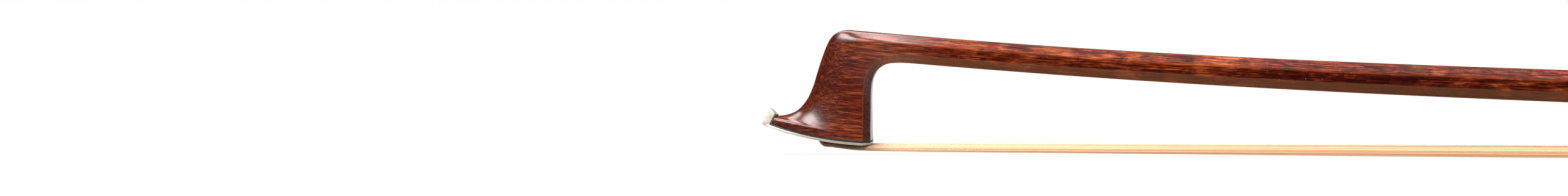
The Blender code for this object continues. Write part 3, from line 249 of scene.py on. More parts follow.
# Stick. One piece of dense red-brown bow wood, sawn with its head, planed to eight sides and bent to its
# camber over heat. Its edges are lightly broken by hand, and it is oiled and rubbed, so the grain stays
# open.
HEAD_REAR = -722.6 * MM  # rear face of the head
TILT = 0.0355  # slope of the straight handle against the hair
TILT_ANGLE = math.atan(TILT)
HANDLE_LENGTH = 150 * MM
HAIR_BELOW_AXIS = 20.8 * MM
FROG_HEEL = 19.2 * MM
FROG_FRONT = 64.2 * MM
HAIR_Z = -FROG_FRONT * TILT - HAIR_BELOW_AXIS
STICK_BUTT = 13.72 * MM
FLAT_SHARE = 0.375  # width of the four main facets, as a share of the thickness
# Distance from the head, thickness across flats
TAPER = ((0.0, 5.58), (30.0, 5.58), (134.0, 6.25), (330.0, 7.5), (510.0, 8.6))
HANDLE_FLATS = 8.6 * MM
# Distance from the head, height of the axis over the hair, slope
CAMBER = ((0.0, 20.7, -0.09), (134.0, 13.07, -0.0346), (272.0, 10.65, 0.0))
BROKEN_EDGE = 0.24 * MM
FADING_EDGE = 3 * MM  # widens the break of an edge that fades out in the throat
RIDGE_SHARE = 0.3  # where the head's ridge gives way to its cheek, as a share of the section
RING_STEP = 4.5 * MM
CHAMFER_DEPTH = 1.35 * MM
HEAD_ROOT = 9 * MM
RINGS_PER_STATION = 7
# Across each facet, closer together at its edges
SPREAD = (0.0, 0.1, 0.35, 0.65, 0.9, 1.0)
# Stations of the head: front x and z, rear x and z, half width at the ridge, the cheek and the rear flat,
# share of the head's own section. x runs from the rear of the head and z from the middle of the hair, in
# millimetres.
STATIONS = (
    (4.6, 23.08, 5.7, 17.27, 1.04, 2.80, 1.04, 0.0),
    (0.9, 23.40, 3.35, 17.05, 1.04, 2.80, 1.05, 0.08),
    (-2.4, 23.67, 1.75, 16.18, 1.03, 2.80, 1.15, 0.25),
    (-5.2, 23.86, 0.85, 15.05, 0.98, 2.82, 1.25, 0.5),
    (-7.3, 23.18, 0.3, 13.6, 0.8, 2.87, 1.4, 0.75),
    (-8.7, 21.55, 0.08, 11.9, 0.6, 2.95, 1.5, 0.92),
    (-9.97, 18.56, 0.0, 9.9, 0.5, 3.1, 1.6, 1.0),
    (-10.96, 15.57, 0.0, 8.0, 0.5, 3.35, 1.75, 1.0),
    (-11.95, 12.4, 0.0, 6.2, 0.5, 3.7, 1.9, 1.0),
    (-13.3, 9.6, 0.0, 4.5, 0.55, 4.1, 2.1, 1.0),
    (-15.36, 7.4, 0.0, 3.2, 0.7, 4.45, 2.25, 1.0),
    (-18.4, 6.35, 0.04, 2.2, 0.95, 4.65, 2.4, 1.0),
    (-21.6, 6.3, 0.08, 1.3, 1.15, 4.75, 2.45, 1.0),
    (-22.5, 4.2, 0.1, 0.1, 1.2, 4.8, 2.5, 1.0),
)


def read_table(table, place):
    for (a, low), (b, high) in zip(table, table[1:]):
        if place <= b:
            return low + (high - low) * max(0.0, place - a) / (b - a)
    return table[-1][1]


def flats_at(distance):
    return read_table(TAPER, distance / MM) * MM


def stick_axis(distance):
    """Height and slope of the stick's axis, by distance from the head. It runs on straight through it."""
    handle = -HANDLE_LENGTH * math.cos(TILT_ANGLE) - HEAD_REAR
    if distance >= handle:
        return (HEAD_REAR + distance) * TILT, TILT
    first = CAMBER[0]
    if distance < 0:
        return HAIR_Z + first[1] * MM + distance * first[2], first[2]
    knots = [(a * MM, z * MM, slope) for a, z, slope in CAMBER]
    knots.append((handle, -HANDLE_LENGTH * math.sin(TILT_ANGLE) - HAIR_Z, TILT))
    for (a, za, sa), (b, zb, sb) in zip(knots, knots[1:]):
        if distance <= b:
            span = b - a
            t = (distance - a) / span
            height = (2 * t**3 - 3 * t**2 + 1) * za + (t**3 - 2 * t**2 + t) * span * sa
            height += (3 * t**2 - 2 * t**3) * zb + (t**3 - t**2) * span * sb
            rise = (6 * t**2 - 6 * t) * (za - zb) / span
            rise += (3 * t**2 - 4 * t + 1) * sa + (3 * t**2 - 2 * t) * sb
            return HAIR_Z + height, rise


def trimmed(run, near, far):
    """A run of points shortened at both ends, and read at the places of SPREAD."""
    lengths = [0.0]
    for a, b in zip(run, run[1:]):
        lengths.append(lengths[-1] + (b - a).length)
    out = []
    for share in SPREAD:
        want = near + (lengths[-1] - near - far) * share
        i = 0
        while i < len(run) - 2 and lengths[i + 1] < want:
            i += 1
        step = lengths[i + 1] - lengths[i]
        out.append(run[i].lerp(run[i + 1], (want - lengths[i]) / step if step else 0.0))
    return out


def planed_ring(front, rear, ridge, cheek, flat, share, chamfer, flats):
    """One ring of the stick or head through two points of its outline, with its edges broken."""
    run = (rear - front).length
    half_flat = FLAT_SHARE * flats / 2
    first = (1 - share) * (flats / 2 - half_flat) / run + share * RIDGE_SHARE
    last = 1 - chamfer / run

    def half(v):
        straight = half_flat + (flats / 2 - half_flat) * min(1.0, v / first)
        u = min(1.0, v / last)
        full = ridge + (cheek - ridge) * math.sqrt(max(0.0, 1 - (1 - u) ** 2))
        return Vector((v * run, (1 - share) * straight + share * full))

    steps = [k / 10 for k in range(11)]
    runs = [
        [Vector((0, 0)), half(0)],
        [half(first * q * q) for q in steps],
        [half(first + (last - first) * q) for q in steps],
        [half(last), Vector((run, flat))],
        [Vector((run, flat)), Vector((run, 0))],
    ]
    lengths = [sum((b - a).length for a, b in zip(r, r[1:])) for r in runs]
    wanted = (BROKEN_EDGE, BROKEN_EDGE + share * (1 - share) * FADING_EDGE, BROKEN_EDGE, BROKEN_EDGE)
    breaks = [min(w, 0.4 * a, 0.4 * b) for w, a, b in zip(wanted, lengths, lengths[1:])]
    side = []
    for i, points in enumerate(runs):
        near = breaks[i - 1] if i else 0.0
        far = breaks[i] if i < 4 else 0.0
        kept = trimmed(points, near, far)
        if side:
            corner, a, b = points[0], side[-1], kept[0]
            for t in (0.25, 0.5, 0.75):
                side.append(a.lerp(corner, t).lerp(corner.lerp(b, t), t))
        side += kept
    along = (rear - front).normalized()

    def placed(point, sign):
        spot = front + along * point.x
        return Vector((spot.x, sign * point.y, spot.y))

    return [placed(p, -1) for p in side] + [placed(p, 1) for p in reversed(side[1:-1])]


def faired(rows, t):
    """A smooth curve through rows of numbers, read at a row's number and a share of the way to the next."""
    i = min(int(t), len(rows) - 2)
    f = t - i
    four = (rows[max(i - 1, 0)], rows[i], rows[i + 1], rows[min(i + 2, len(rows) - 1)])
    out = []
    for p, a, b, n in zip(*four):
        value = 2 * a + (b - p) * f + (2 * p - 5 * a + 4 * b - n) * f**2
        out.append(0.5 * (value + (3 * a - p - 3 * b + n) * f**3))
    return out


def stick_ring(distance):
    z, slope = stick_axis(distance)
    lean = math.atan(slope)
    out = Vector((-math.sin(lean), math.cos(lean)))
    middle = Vector((HEAD_REAR + distance, z))
    flats = flats_at(distance)
    half = flats / 2
    flat = half * FLAT_SHARE
    top = middle + out * half
    under = middle - out * half
    return top, under, planed_ring(top, under, flat, half, flat, 0, half * (1 - FLAT_SHARE), flats)


def head_rows():
    top, under, _ = stick_ring(HEAD_ROOT)
    half = flats_at(HEAD_ROOT) / 2
    rows = [(top.x, top.y, under.x, under.y, half * FLAT_SHARE, half, half * FLAT_SHARE, 0.0)]
    for fx, fz, rx, rz, ridge, cheek, flat, share in STATIONS:
        outline = (HEAD_REAR + fx * MM, HAIR_Z + fz * MM, HEAD_REAR + rx * MM, HAIR_Z + rz * MM)
        rows.append(outline + (ridge * MM, cheek * MM, flat * MM, share))
    return rows


def head_ring(rows, t):
    fx, fz, rx, rz, ridge, cheek, flat, share = faired(rows, t)
    front = Vector((fx, fz))
    rear = Vector((rx, rz))
    before = faired(rows, max(t - 0.05, 0))
    after = faired(rows, min(t + 0.05, len(rows) - 1))
    along = Vector((after[2] - before[2], after[3] - before[3])).normalized()
    lean = abs((rear - front).normalized().dot(Vector((-along.y, along.x))))
    flats = flats_at(HEAD_ROOT)
    mix = min(1.0, t / 3)
    chamfer = ((1 - mix) * (1 - FLAT_SHARE) * flats / 2 + mix * CHAMFER_DEPTH) / lean
    return planed_ring(front, rear, ridge, cheek, flat, min(1.0, max(0.0, share)), chamfer, flats)


def solid(name, points, faces):
    mesh = bpy.data.meshes.new(name)
    mesh.from_pydata([tuple(p) for p in points], [], faces)
    return stand(name, mesh)


def skin(start, count, rings, hollow=False):
    """Faces between rings of points, closed at both ends, or back on themselves round a hollow piece."""
    faces = []
    for k in range(rings - (not hollow)):
        here, after = start + k * count, start + (k + 1) % rings * count
        for i in range(count):
            j = (i + 1) % count
            faces.append((here + i, here + j, after + j, after + i))
    if not hollow:
        faces.append(tuple(range(start, start + count))[::-1])
        faces.append(tuple(range(start + (rings - 1) * count, start + rings * count)))
    return faces


def outward(piece):
    shape = bmesh.new()
    shape.from_mesh(piece.data)
    bmesh.ops.recalc_face_normals(shape, faces=shape.faces)
    shape.to_mesh(piece.data)
    shape.free()
    return piece


def loft(name, rings, hollow=False):
    """A skin through rings of equal counts, closed at its ends, or back on itself round a hollow piece."""
    points = [point for ring in rings for point in ring]
    return outward(solid(name, points, skin(0, len(rings[0]), len(rings), hollow)))


def settle(piece):
    """Turns a piece's modifiers, or a curve, into its mesh."""
    bpy.context.view_layer.update()
    mesh = bpy.data.meshes.new_from_object(piece.evaluated_get(bpy.context.evaluated_depsgraph_get()))
    mesh.name = piece.name
    if piece.type == "MESH":
        piece.modifiers.clear()
        piece.data = mesh
        return piece
    name = piece.name
    bpy.data.objects.remove(piece, do_unlink=True)
    return stand(name, mesh)


def carve(piece, *tools, how="DIFFERENCE"):
    """Cuts pieces out of a piece, or joins them to it, and does away with them."""
    for tool in tools:
        change = piece.modifiers.new(tool.name, "BOOLEAN")
        change.operation = how
        change.solver = "EXACT"
        change.object = tool
    settle(piece)
    for tool in tools:
        bpy.data.objects.remove(tool, do_unlink=True)
    return piece


def soften(piece, width, rounds=2, angle=40):
    """Rounds the edges of a piece that turn by more than an angle."""
    edge = piece.modifiers.new("edge", "BEVEL")
    edge.width = width
    edge.segments = rounds
    edge.limit_method = "ANGLE"
    edge.angle_limit = math.radians(angle)
    edge.use_clamp_overlap = True
    return settle(piece)


def smooth(piece, angle=32):
    for face in piece.data.polygons:
        face.use_smooth = True
    piece.data.set_sharp_from_angle(angle=math.radians(angle))
    return piece


def fit(piece, finish, body, node):
    """Gives a finished piece its material, and its place in the frame."""
    piece.data.materials.clear()
    piece.data.materials.append(finish.material)
    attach(piece, body)
    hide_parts(node)


def keep(piece, name, values):
    """Keeps a number or a vector with each point of a piece, for its finish to read."""
    values = np.array(values, np.float32)
    kind, field = ("FLOAT_VECTOR", "vector") if values.ndim == 2 else ("FLOAT", "value")
    piece.data.attributes.new(name, kind, "POINT").data.foreach_set(field, values.ravel())


def put(piece, where):
    """Moves a piece, drawn along the handle or from the rear of the head, into its place."""
    piece.data.transform(where)
    return piece


def circle(radius, sides):
    turns = [2 * math.pi * i / sides for i in range(sides)]
    return [(radius * math.cos(turn), radius * math.sin(turn)) for turn in turns]


def lathe(name, profile, sides=64, hollow=False):
    """A piece turned round the handle's axis, from (radius, place) pairs."""
    rings = [[(place, y, z) for y, z in circle(radius, sides)] for radius, place in profile]
    return loft(name, rings, hollow)


def tube(name, radius, ends, sides=32):
    return lathe(name, [(radius, end) for end in ends], sides)


def bar(name, outline, first, last):
    """A straight bar along the handle with a cross outline of (y, z) points."""
    return loft(name, [[(x, y, z) for y, z in outline] for x in (first, last)])


def brick(name, low, high):
    corners = [(low[1], low[2]), (high[1], low[2]), (high[1], high[2]), (low[1], high[2])]
    return bar(name, corners, low[0], high[0])


# The face of the head, from the rear of the head and the middle of the hair
FACE_HEIGHT = 0.65 * MM
FACE_SLOPE = 0.02
FACE_RADIUS = 69 * MM
CUT_REACH = 6 * MM  # how far the cut that frees the face runs past it, and half its width
CUT_HALF = 10 * MM
PLATE_SHEET = 0.5 * MM
LINER_SHEET = 0.3 * MM
GLUE = 0.05 * MM
JOINT_FOOT = Vector((-20.63, 4.9)) * MM
JOINT_TOP = Vector((-19.72, 6.75)) * MM
MORTISE = ((-11.0 * MM, -2.85 * MM, -2 * MM), (-2.6 * MM, 2.85 * MM, 6.9 * MM))
HEAD = Matrix.Translation((HEAD_REAR, 0, HAIR_Z))
HANDLE = Matrix.Rotation(-TILT_ANGLE, 4, "Y")
MAIN_BORE = 1.72 * MM
PILOT_BORE = 1.27 * MM
EYELET_PLACE = 41.25 * MM
SCREW_END = 90 * MM
NIPPLE_RADIUS = 2.8 * MM
NIPPLE_LENGTH = 2.4 * MM
OVER = 1 * MM  # how far a cut reaches past what it cuts
SLOT = ((-47.95 * MM, -2.65 * MM, -8.6 * MM), (-35.25 * MM, 2.65 * MM, 2.57 * MM))


def face_height(x, level):
    return FACE_HEIGHT + level + FACE_SLOPE * -x + x * x / (2 * FACE_RADIUS)


def nose_corner(level):
    """Where a layer of the face meets the same layer of the nose."""
    along = (JOINT_TOP - JOINT_FOOT).normalized()
    point = JOINT_FOOT + Vector((along.y, -along.x)) * (level - PLATE_SHEET)
    for _ in range(8):
        point = point + along * (face_height(point.x, level) - point.y) / along.y
    return point


def face_cutter():
    level = PLATE_SHEET + LINER_SHEET + 2 * GLUE
    corner = nose_corner(level)
    along = (JOINT_TOP - JOINT_FOOT).normalized()
    reach = CUT_REACH
    top = corner + along * reach
    run = [(corner.x * s / 24, face_height(corner.x * s / 24, level)) for s in range(25)]
    outline = [(reach, face_height(reach, level))] + run
    outline += [tuple(top), (corner.x - reach, top.y), (corner.x - reach, -reach), (reach, -reach)]
    return loft("face_cutter", [[(x, side * CUT_HALF, z) for x, z in outline] for side in (-1, 1)])


butt = -STICK_BUTT * math.cos(TILT_ANGLE) - HEAD_REAR
count = round((butt - HEAD_ROOT) / RING_STEP)
rings = [stick_ring(butt + (HEAD_ROOT - butt) * i / count)[2] for i in range(count + 1)]
rows = head_rows()
steps = (len(rows) - 1) * RINGS_PER_STATION
rings += [head_ring(rows, i / RINGS_PER_STATION) for i in range(1, steps + 1)]
stick = loft("bow_stick", rings)
nipple = tube("nipple", NIPPLE_RADIUS, (-STICK_BUTT - OVER, -STICK_BUTT + NIPPLE_LENGTH))
carve(stick, put(nipple, HANDLE), how="UNION")
carve(
    stick,
    put(face_cutter(), HEAD),
    put(brick("mortise", *MORTISE), HEAD),
    put(tube("main_bore", MAIN_BORE, (-EYELET_PLACE, 0)), HANDLE),
    put(tube("pilot_bore", PILOT_BORE, (-SCREW_END - OVER, -EYELET_PLACE)), HANDLE),
    put(brick("eyelet_slot", *SLOT), HANDLE),
)
smooth(stick, 24)
places = [(v.co.x - HEAD_REAR, v.co.y, v.co.z) for v in stick.data.vertices]
keep(stick, "grain", [(x, y, z - stick_axis(x)[0]) for x, y, z in places])


def mark_edges(piece, low=35.0, high=110.0):
    """Keeps how worn each point of a piece is, from how sharply it turns there, in degrees a millimetre."""
    shape = bmesh.new()
    shape.from_mesh(piece.data)
    turns = [0.0] * len(shape.verts)
    for edge in shape.edges:
        if len(edge.link_faces) == 2:
            a, b = (face.calc_center_median() for face in edge.link_faces)
            turn = math.degrees(edge.calc_face_angle_signed(0.0)) / max((a - b).length / MM, 0.05)
            share = min(1.0, max(0.0, (turn - low) / (high - low)))
            for point in edge.verts:
                turns[point.index] = max(turns[point.index], share)
    shape.free()
    keep(piece, "worn", turns)


# How far each point faces down, to the front and to the rear. The finish paints light onto the stick's
# underside and shade onto the front and rear faces of the head by these.
facing = np.empty(3 * len(stick.data.vertices), np.float32)
stick.data.vertices.foreach_get("normal", facing)
keep(stick, "underside", np.clip(facing[2::3] * -1.6, 0.0, 1.0))
keep(stick, "front", np.clip(facing[0::3] * -3.2 - 0.1, 0.0, 1.0))
keep(stick, "rear", np.clip(facing[0::3] * 1.6 - 0.3, 0.0, 1.0))

wood = Finish("bow_wood", Specular_IOR_Level=0.035, Coat_Roughness=0.24, IOR=1.5)
grain = wood.kept("grain", 1)
worn = wood.kept("worn")
along = wood.node("ShaderNodeSeparateXYZ", None, {0: grain})
behind_head = along.above(0.0, 0.03)
# Underside of the stick behind the head: rosin dust, and painted light from below.
rosin_and_painted_underlight = wood.kept("underside") * along.above(0.001, 0.006)
front = wood.kept("front")
rear = wood.kept("rear") * (1 - behind_head)
drift = wood.cloud(grain, (22, 130, 130), 2.0)
streaks = wood.cloud(grain, (90, 2400, 1900), 5.0, 0.65, 0.5, turn=(0, 0.05, 0))
fine_streaks = wood.cloud(grain, (190, 6400, 6000), 3.0, 0.6, 0.3, turn=(0, 0.02, 0))
fibre = wood.cloud(grain, (260, 9000, 9000), 3.0, 0.6, turn=(0, 0.03, 0))
pores = wood.cloud(grain, (420, 5200, 5200), 1.0, 0.4, turn=(0, 0.05, 0)).above(0.6, 0.7)
figure = wood.cloud(grain, (230, 120, 520), 3.0, 0.6, 1.0, turn=(0, 0.7, 0))
specks = wood.cloud(grain, 5200.0, 0.0).above(0.84, 0.88)
end_pores = wood.cloud(grain, 2300.0, 1.0).above(0.42, 0.62)
tone = streaks * 0.5 + fine_streaks * 0.6 + fibre * 0.2 + drift * 0.25 + figure * (0.06 + 0.4 * behind_head)
colour = wood.ramp(
    (tone - 0.79 - 0.23 * behind_head - 0.05 * along.above(0.04, 0.15)) * 3.6 + 0.42,
    (0.0, (0.020, 0.0010, 0.0002)),
    (0.3, (0.064, 0.0046, 0.0008)),
    (0.52, (0.124, 0.0138, 0.0023)),
    (0.74, (0.212, 0.035, 0.0076)),
    (1.0, (0.335, 0.088, 0.0240)),
)
colour = wood.over(
    colour,
    (pores * 0.7, (0.016, 0.002, 0.001)),
    # Painted shade on the faces of the head that turn to the front, with its dark end-grain pores.
    (front * (0.45 + 0.45 * end_pores), (0.030, 0.0035, 0.0010)),
    # Painted shade on the faces of the head that turn to the rear.
    (rear * 0.6, (0.030, 0.0030, 0.0008)),
    (worn * 0.2, (0.30, 0.085, 0.025)),
    (specks * 0.4, (0.6, 0.5, 0.42)),
    # Rosin dust on the underside, in a lighter colour that also paints in the light thrown up from below.
    (rosin_and_painted_underlight * (0.4 + 0.2 * streaks), (0.17, 0.072, 0.034)),
)
gloss = 0.17 + fibre * 0.14 + pores * 0.25 - worn * 0.04 + rosin_and_painted_underlight * 0.3
height = fibre * 0.35 - pores * 0.9 + streaks * 0.2
wood.surface(colour, gloss, (height, 0.3, 0.00006), Coat_Weight=0.85 - 0.83 * along.above(-0.004, 0.018))
mark_edges(stick)
fit(stick, wood, "stick", "stick")

# Face of the head. A thin black liner and a polished bone plate are glued on. The plate ends in the nose,
# which is carved with it and bevelled to a ridge, and both turn up where they meet the wood.
NOSE_TIP = Vector((-22.24, 4.8)) * MM
NOSE_TOP = Vector((-21.18, 7.7)) * MM
NOSE_BEVEL = 0.5 * MM
NOSE_CROWN = Vector((0.45, 0.15)) * MM
NOSE_CROWN_FOOT = Vector((-0.51, 0.68)) * MM
PLATE_OVERHANG = 0.1 * MM
LINER_SET_BACK = 0.02 * MM
FACE_FRONT = -22.5 * MM
FACE_REAR = 0.1 * MM
FACE_HALF = 4.8 * MM
REAR_FLAT_HALF = 2.5 * MM
NOSE_HALF = 1.2 * MM
# Up the nose: shares of the way up its outside and its inside, and of the width
LINER_NOSE = ((0.25, 0.2, 0.97), (0.5, 0.4, 0.93), (0.75, 0.66, 0.88), (1.0, 0.92, 0.82))
PLATE_NOSE = ((0.0, 0.25, 0.97), (0.18, 0.38, 0.94), (0.35, 0.5, 0.9), (0.55, 0.65, 0.85), (0.75, 0.8, 0.8))
PLATE_NOSE += ((1.0, 1.0, 0.68),)
CROWN_NARROWS = 0.55
LINER_EDGE = 0.03 * MM
PLATE_EDGE = 0.07 * MM


def face_half(x):
    if x > -CHAMFER_DEPTH:
        return REAR_FLAT_HALF + (FACE_HALF - REAR_FLAT_HALF) * (FACE_REAR - x) / (FACE_REAR + CHAMFER_DEPTH)
    u = min(1.0, max(0.0, (x - FACE_FRONT) / (-CHAMFER_DEPTH - FACE_FRONT)))
    return NOSE_HALF + (FACE_HALF - NOSE_HALF) * math.sqrt(1 - (1 - u) ** 2)


def face_run(level, last):
    """The face's curve at a level, from the rear to a last place. Its points lie closer at the rear."""
    stops = [0.0, 0.03, 0.07] + [0.07 + 0.93 * i / 22 for i in range(1, 23)]
    return [Vector((last * s, face_height(last * s, level))) for s in stops]


def layer(name, outer, inner, halves):
    """A sheet between two runs of points, with a width at each."""
    rings = []
    for low, high, half in zip(outer, inner, halves):
        row = [(low.x, -half, low.y), (low.x, 0, low.y), (low.x, half, low.y)]
        rings.append(row + [(high.x, half, high.y), (high.x, 0, high.y), (high.x, -half, high.y)])
    return put(loft(name, rings), HEAD)


low_level = PLATE_SHEET + GLUE
outer_corner = nose_corner(low_level)
inner_corner = nose_corner(low_level + LINER_SHEET)
rise = JOINT_TOP - JOINT_FOOT
outer = face_run(low_level, outer_corner.x)
inner = face_run(low_level + LINER_SHEET, inner_corner.x)
halves = [face_half(p.x) - LINER_SET_BACK for p in outer]
for outside, inside, narrow in LINER_NOSE:
    outer.append(outer_corner + rise * outside)
    inner.append(inner_corner + rise * inside)
    halves.append(face_half(outer_corner.x) * narrow - LINER_SET_BACK)
liner = layer("head_liner_black", outer, inner, halves)
carve(liner, put(brick("liner_mortise", *MORTISE), HEAD))
smooth(soften(liner, LINER_EDGE, 1))

corner = nose_corner(PLATE_SHEET)
outer = face_run(0, NOSE_TIP.x + NOSE_BEVEL)
inner = face_run(PLATE_SHEET, corner.x)
outer[0].x += PLATE_OVERHANG
inner[0].x += PLATE_OVERHANG
halves = [face_half(p.x) for p in inner]
for outside, inside, narrow in PLATE_NOSE:
    outer.append(NOSE_TIP.lerp(NOSE_TOP, outside))
    inner.append(corner.lerp(JOINT_TOP, inside))
    halves.append(face_half(corner.x) * narrow)
outer.append(NOSE_TOP + NOSE_CROWN)
inner.append(JOINT_TOP + NOSE_CROWN_FOOT)
halves.append(face_half(corner.x) * CROWN_NARROWS)
plate = layer("head_plate_bone", outer, inner, halves)
carve(plate, put(brick("plate_mortise", *MORTISE), HEAD))
smooth(soften(plate, PLATE_EDGE, 2))

stain = Finish("blackened_liner")
spots = stain.cloud(stain.place(), (900, 2600, 2600))
stain.set(
    Base_Color=stain.blend(spots, (0.006, 0.005, 0.005), (0.03, 0.024, 0.02)),
    Roughness=0.4 + spots * 0.25,
)
fit(liner, stain, "stick", "head_liner")

bone = Finish("polished_bone", Roughness=0.3, Coat_Weight=0.4, Coat_Roughness=0.12, IOR=1.52)
place = bone.place()
cloudy = bone.cloud(place, (260, 420, 420), 3.0, 0.55)
growth = bone.cloud(place, (180, 2600, 2600), 3.0, 0.6)
pits = bone.cloud(place, (1500, 4200, 4200), 1.0).above(0.66, 0.74)
colour = bone.ramp(
    cloudy * 0.65 + growth * 0.35,
    (0.25, (0.40, 0.31, 0.23)),
    (0.5, (0.50, 0.44, 0.36)),
    (0.78, (0.60, 0.56, 0.49)),
)
colour = bone.blend(pits * 0.6, colour, (0.14, 0.09, 0.06))
# The plate is drawn darker along its sharp edges, which outlines it.
edges = bone.kept("worn")
colour = bone.blend(edges * 0.55, colour, (0.22, 0.19, 0.13))
bone.surface(colour, 0.24 + growth * 0.14 + pits * 0.2, (growth * 0.3 - pits, 0.3, 0.00005))
mark_edges(plate)
fit(plate, bone, "stick", "head_plate")

# Hair. A flat hank of long undyed horsehair. It is bound and plugged in the head, folds out of the mortise,
# runs under the face, fans out, and goes flat into the ferrule. It is drawn as one hank of single hairs
# over a core.
HAIR_AT_HEAD_HALF = 2.75 * MM
HAIR_BEHIND_HEAD_HALF = 4.3 * MM
HAIR_AT_FROG_HALF = 5.5 * MM
HAIR_SPREAD = 12 * MM  # from the head to where the folded hank has opened out
HAIR_FULL_REACH = 134 * MM  # and to where it is at its full depth
HAIR_FULL = 2.2 * MM
HAIR_THIN = 1.5 * MM
HAIR_LAYER = 1.1 * MM
HAIR_GAP = 0.1 * MM
FOLD_RISE = 1.0 * MM
INTO_FERRULE = 0.6 * MM
STILL_AT_HEAD = 5 * MM  # hair at each end, from the head and from the frog, that is to stay still; its places are worked out below, but nothing stretches the hair
STILL_AT_FROG = 8 * MM
MORTISE_FRONT = MORTISE[0][0]
HAIR_ROOM = 0.12 * MM  # kept free round the core for the single hairs
HAIR_THICKNESS = 0.1 * MM  # half of the width of a hair
HAIRS = 260
HAIR_END = 60  # hairs drawn in each of the two hidden ends
CORE_SIDES = 20
# The core is drawn a little darker than the average hair, as painted shade between the hairs.
CORE_TONE = 0.35
HANK_SIDES = 0.75  # how square the hank's section is at its sides, and at its faces
HANK_FACES = 0.55
BEND_POINTS = 33  # every point of the path is kept up to here, and one in three after it


def flatter(share, power):
    """Draws a circle's cosine or sine towards its sides, so that the round becomes a flattened one."""
    return math.copysign(abs(share) ** power, share)


def hank(name, path, hairs, where, seed, wander=0.05):
    """Single hairs over a core, along a path of (x, z, half width, depth)."""
    draw = np.random.default_rng(seed)
    points, faces, tones, runs = [], [], [], []
    travelled = [0.0]
    for a, b in zip(path, path[1:]):
        travelled.append(travelled[-1] + math.hypot(b[0] - a[0], b[1] - a[1]))
    ups = []
    for a, b in zip(path[:1] + path[:-1], path[1:] + path[-1:]):
        length = math.hypot(b[0] - a[0], b[1] - a[1])
        ups.append((-(b[1] - a[1]) / length, (b[0] - a[0]) / length))

    def lay(offsets, tone):
        start = len(points)
        for (x, z, half, depth), (lean, rise), run in zip(path, ups, travelled):
            for across, up in offsets(run, half, depth):
                points.append((x + lean * up, across, z + rise * up))
                tones.append(tone)
                runs.append(run)
        return start

    def core(_, half, depth):
        wide, deep = half - HAIR_ROOM, depth / 2 - HAIR_ROOM
        ring = circle(1, CORE_SIDES)
        return [(wide * flatter(c, HANK_SIDES), deep * flatter(s, HANK_FACES)) for c, s in ring]

    faces += skin(lay(core, CORE_TONE), CORE_SIDES, len(path))
    for n in range(hairs):
        turn = 2 * math.pi * (n + draw.uniform(0, 1)) / hairs
        side = flatter(math.cos(turn), HANK_SIDES)
        level = flatter(math.sin(turn), HANK_FACES)
        spot = draw.uniform(0.82, 1.0)
        phases = draw.uniform(0, 2 * math.pi, 4)
        waves = draw.uniform(20, 90, 4)
        thick = HAIR_THICKNESS * draw.uniform(0.75, 1.15)

        def single(run, half, depth):
            swing = [math.sin(wave * run + phase) for wave, phase in zip(waves, phases)]
            sway = wander * (swing[0] + 0.6 * swing[1])
            across = (side * spot + sway * (1 - abs(side))) * (half - thick)
            room = depth / 2 - thick
            up = max(-room, min(room, level * (spot + 0.04 * swing[2]) * room))
            return [(across - thick, up), (across, up - thick), (across + thick, up), (across, up + thick)]

        faces += skin(lay(single, draw.uniform(0, 1)), 4, len(path))
    piece = put(solid(name, points, faces), where)
    keep(piece, "tone", tones)
    keep(piece, "along", runs)
    for face in piece.data.polygons:
        face.use_smooth = True
    return outward(piece)


front = MORTISE_FRONT + HAIR_GAP + HAIR_LAYER / 2
fold_top = face_height(front, 0) + FOLD_RISE
half = HAIR_AT_HEAD_HALF
stations = [(front, fold_top, half, HAIR_LAYER)]
# Out of the mortise: back from the front of the fold, down from the face, share of the width
for back, drop, wide in ((0, -0.35, 1.0), (0.35, 0.35, 1.02), (1.0, 0.92, 1.06)):
    stations.append((front + back * MM, face_height(front, 0) - drop * MM, half * wide, HAIR_LAYER))
# Under the face: place, shares of the width and of the layer
for x, wide, deep in ((-8.0, 1.12, 1.0), (-6.0, 1.2, 1.0), (-3.0, 1.32, 1.06)):
    depth = HAIR_LAYER * deep
    stations.append((x * MM, face_height(x * MM, 0) - HAIR_GAP - depth / 2, half * wide, depth))
# Just behind the head
leave, wide, deep = 0.5 * MM, half * 1.42, HAIR_LAYER * 1.14
stations.append((leave, 0.02 * MM, wide, deep))
ferrule_mouth = -FROG_FRONT * math.cos(TILT_ANGLE) - HEAD_REAR
inside = ferrule_mouth + INTO_FERRULE
halves = ((leave, wide), (HAIR_SPREAD, HAIR_BEHIND_HEAD_HALF), (inside, HAIR_AT_FROG_HALF))
depths = [(leave, deep), (HAIR_SPREAD, HAIR_THIN), (HAIR_FULL_REACH, HAIR_FULL)]
depths += [(0.7 * inside, HAIR_FULL), (inside, HAIR_THIN)]
places = [HAIR_SPREAD * i / 4 for i in range(1, 5)]
places += [HAIR_SPREAD + (inside - HAIR_SPREAD) * i / 44 for i in range(1, 45)]
stations += [(x, 0, read_table(halves, x), read_table(depths, x)) for x in places]
steps = range((len(stations) - 1) * 3 + 1)
path = [faired(stations, t / 3) for t in steps if t <= BEND_POINTS or t % 3 == 0]
hair = hank("bow_hair", path, HAIRS, HEAD, 11)

horsehair = Finish("undyed_horsehair", IOR=1.5)
strand = horsehair.kept("tone")
run = horsehair.kept("along")
place = horsehair.place()
patches = horsehair.cloud(place, (30, 500, 500), 2.0)
scales = horsehair.cloud(place, (600, 4000, 4000), 2.0)
colour = horsehair.ramp(
    strand * 0.45 + patches * 0.3 + 0.15,
    (0.05, (0.50, 0.27, 0.13)),
    (0.35, (0.74, 0.46, 0.26)),
    (0.65, (0.84, 0.58, 0.36)),
    (1.0, (0.90, 0.73, 0.53)),
)
# Painted shade: the hank is drawn orange-brown towards its edges, less so near the head.
across_hank = horsehair.node("ShaderNodeSeparateXYZ", None, {0: place}, out=1).math("ABSOLUTE")
edge_shade_strength = 0.45 + 0.4 * run.above(0.045, 0.11)
colour = horsehair.blend(across_hank.above(0.0030, 0.0042) * edge_shade_strength, colour, (0.74, 0.38, 0.185))
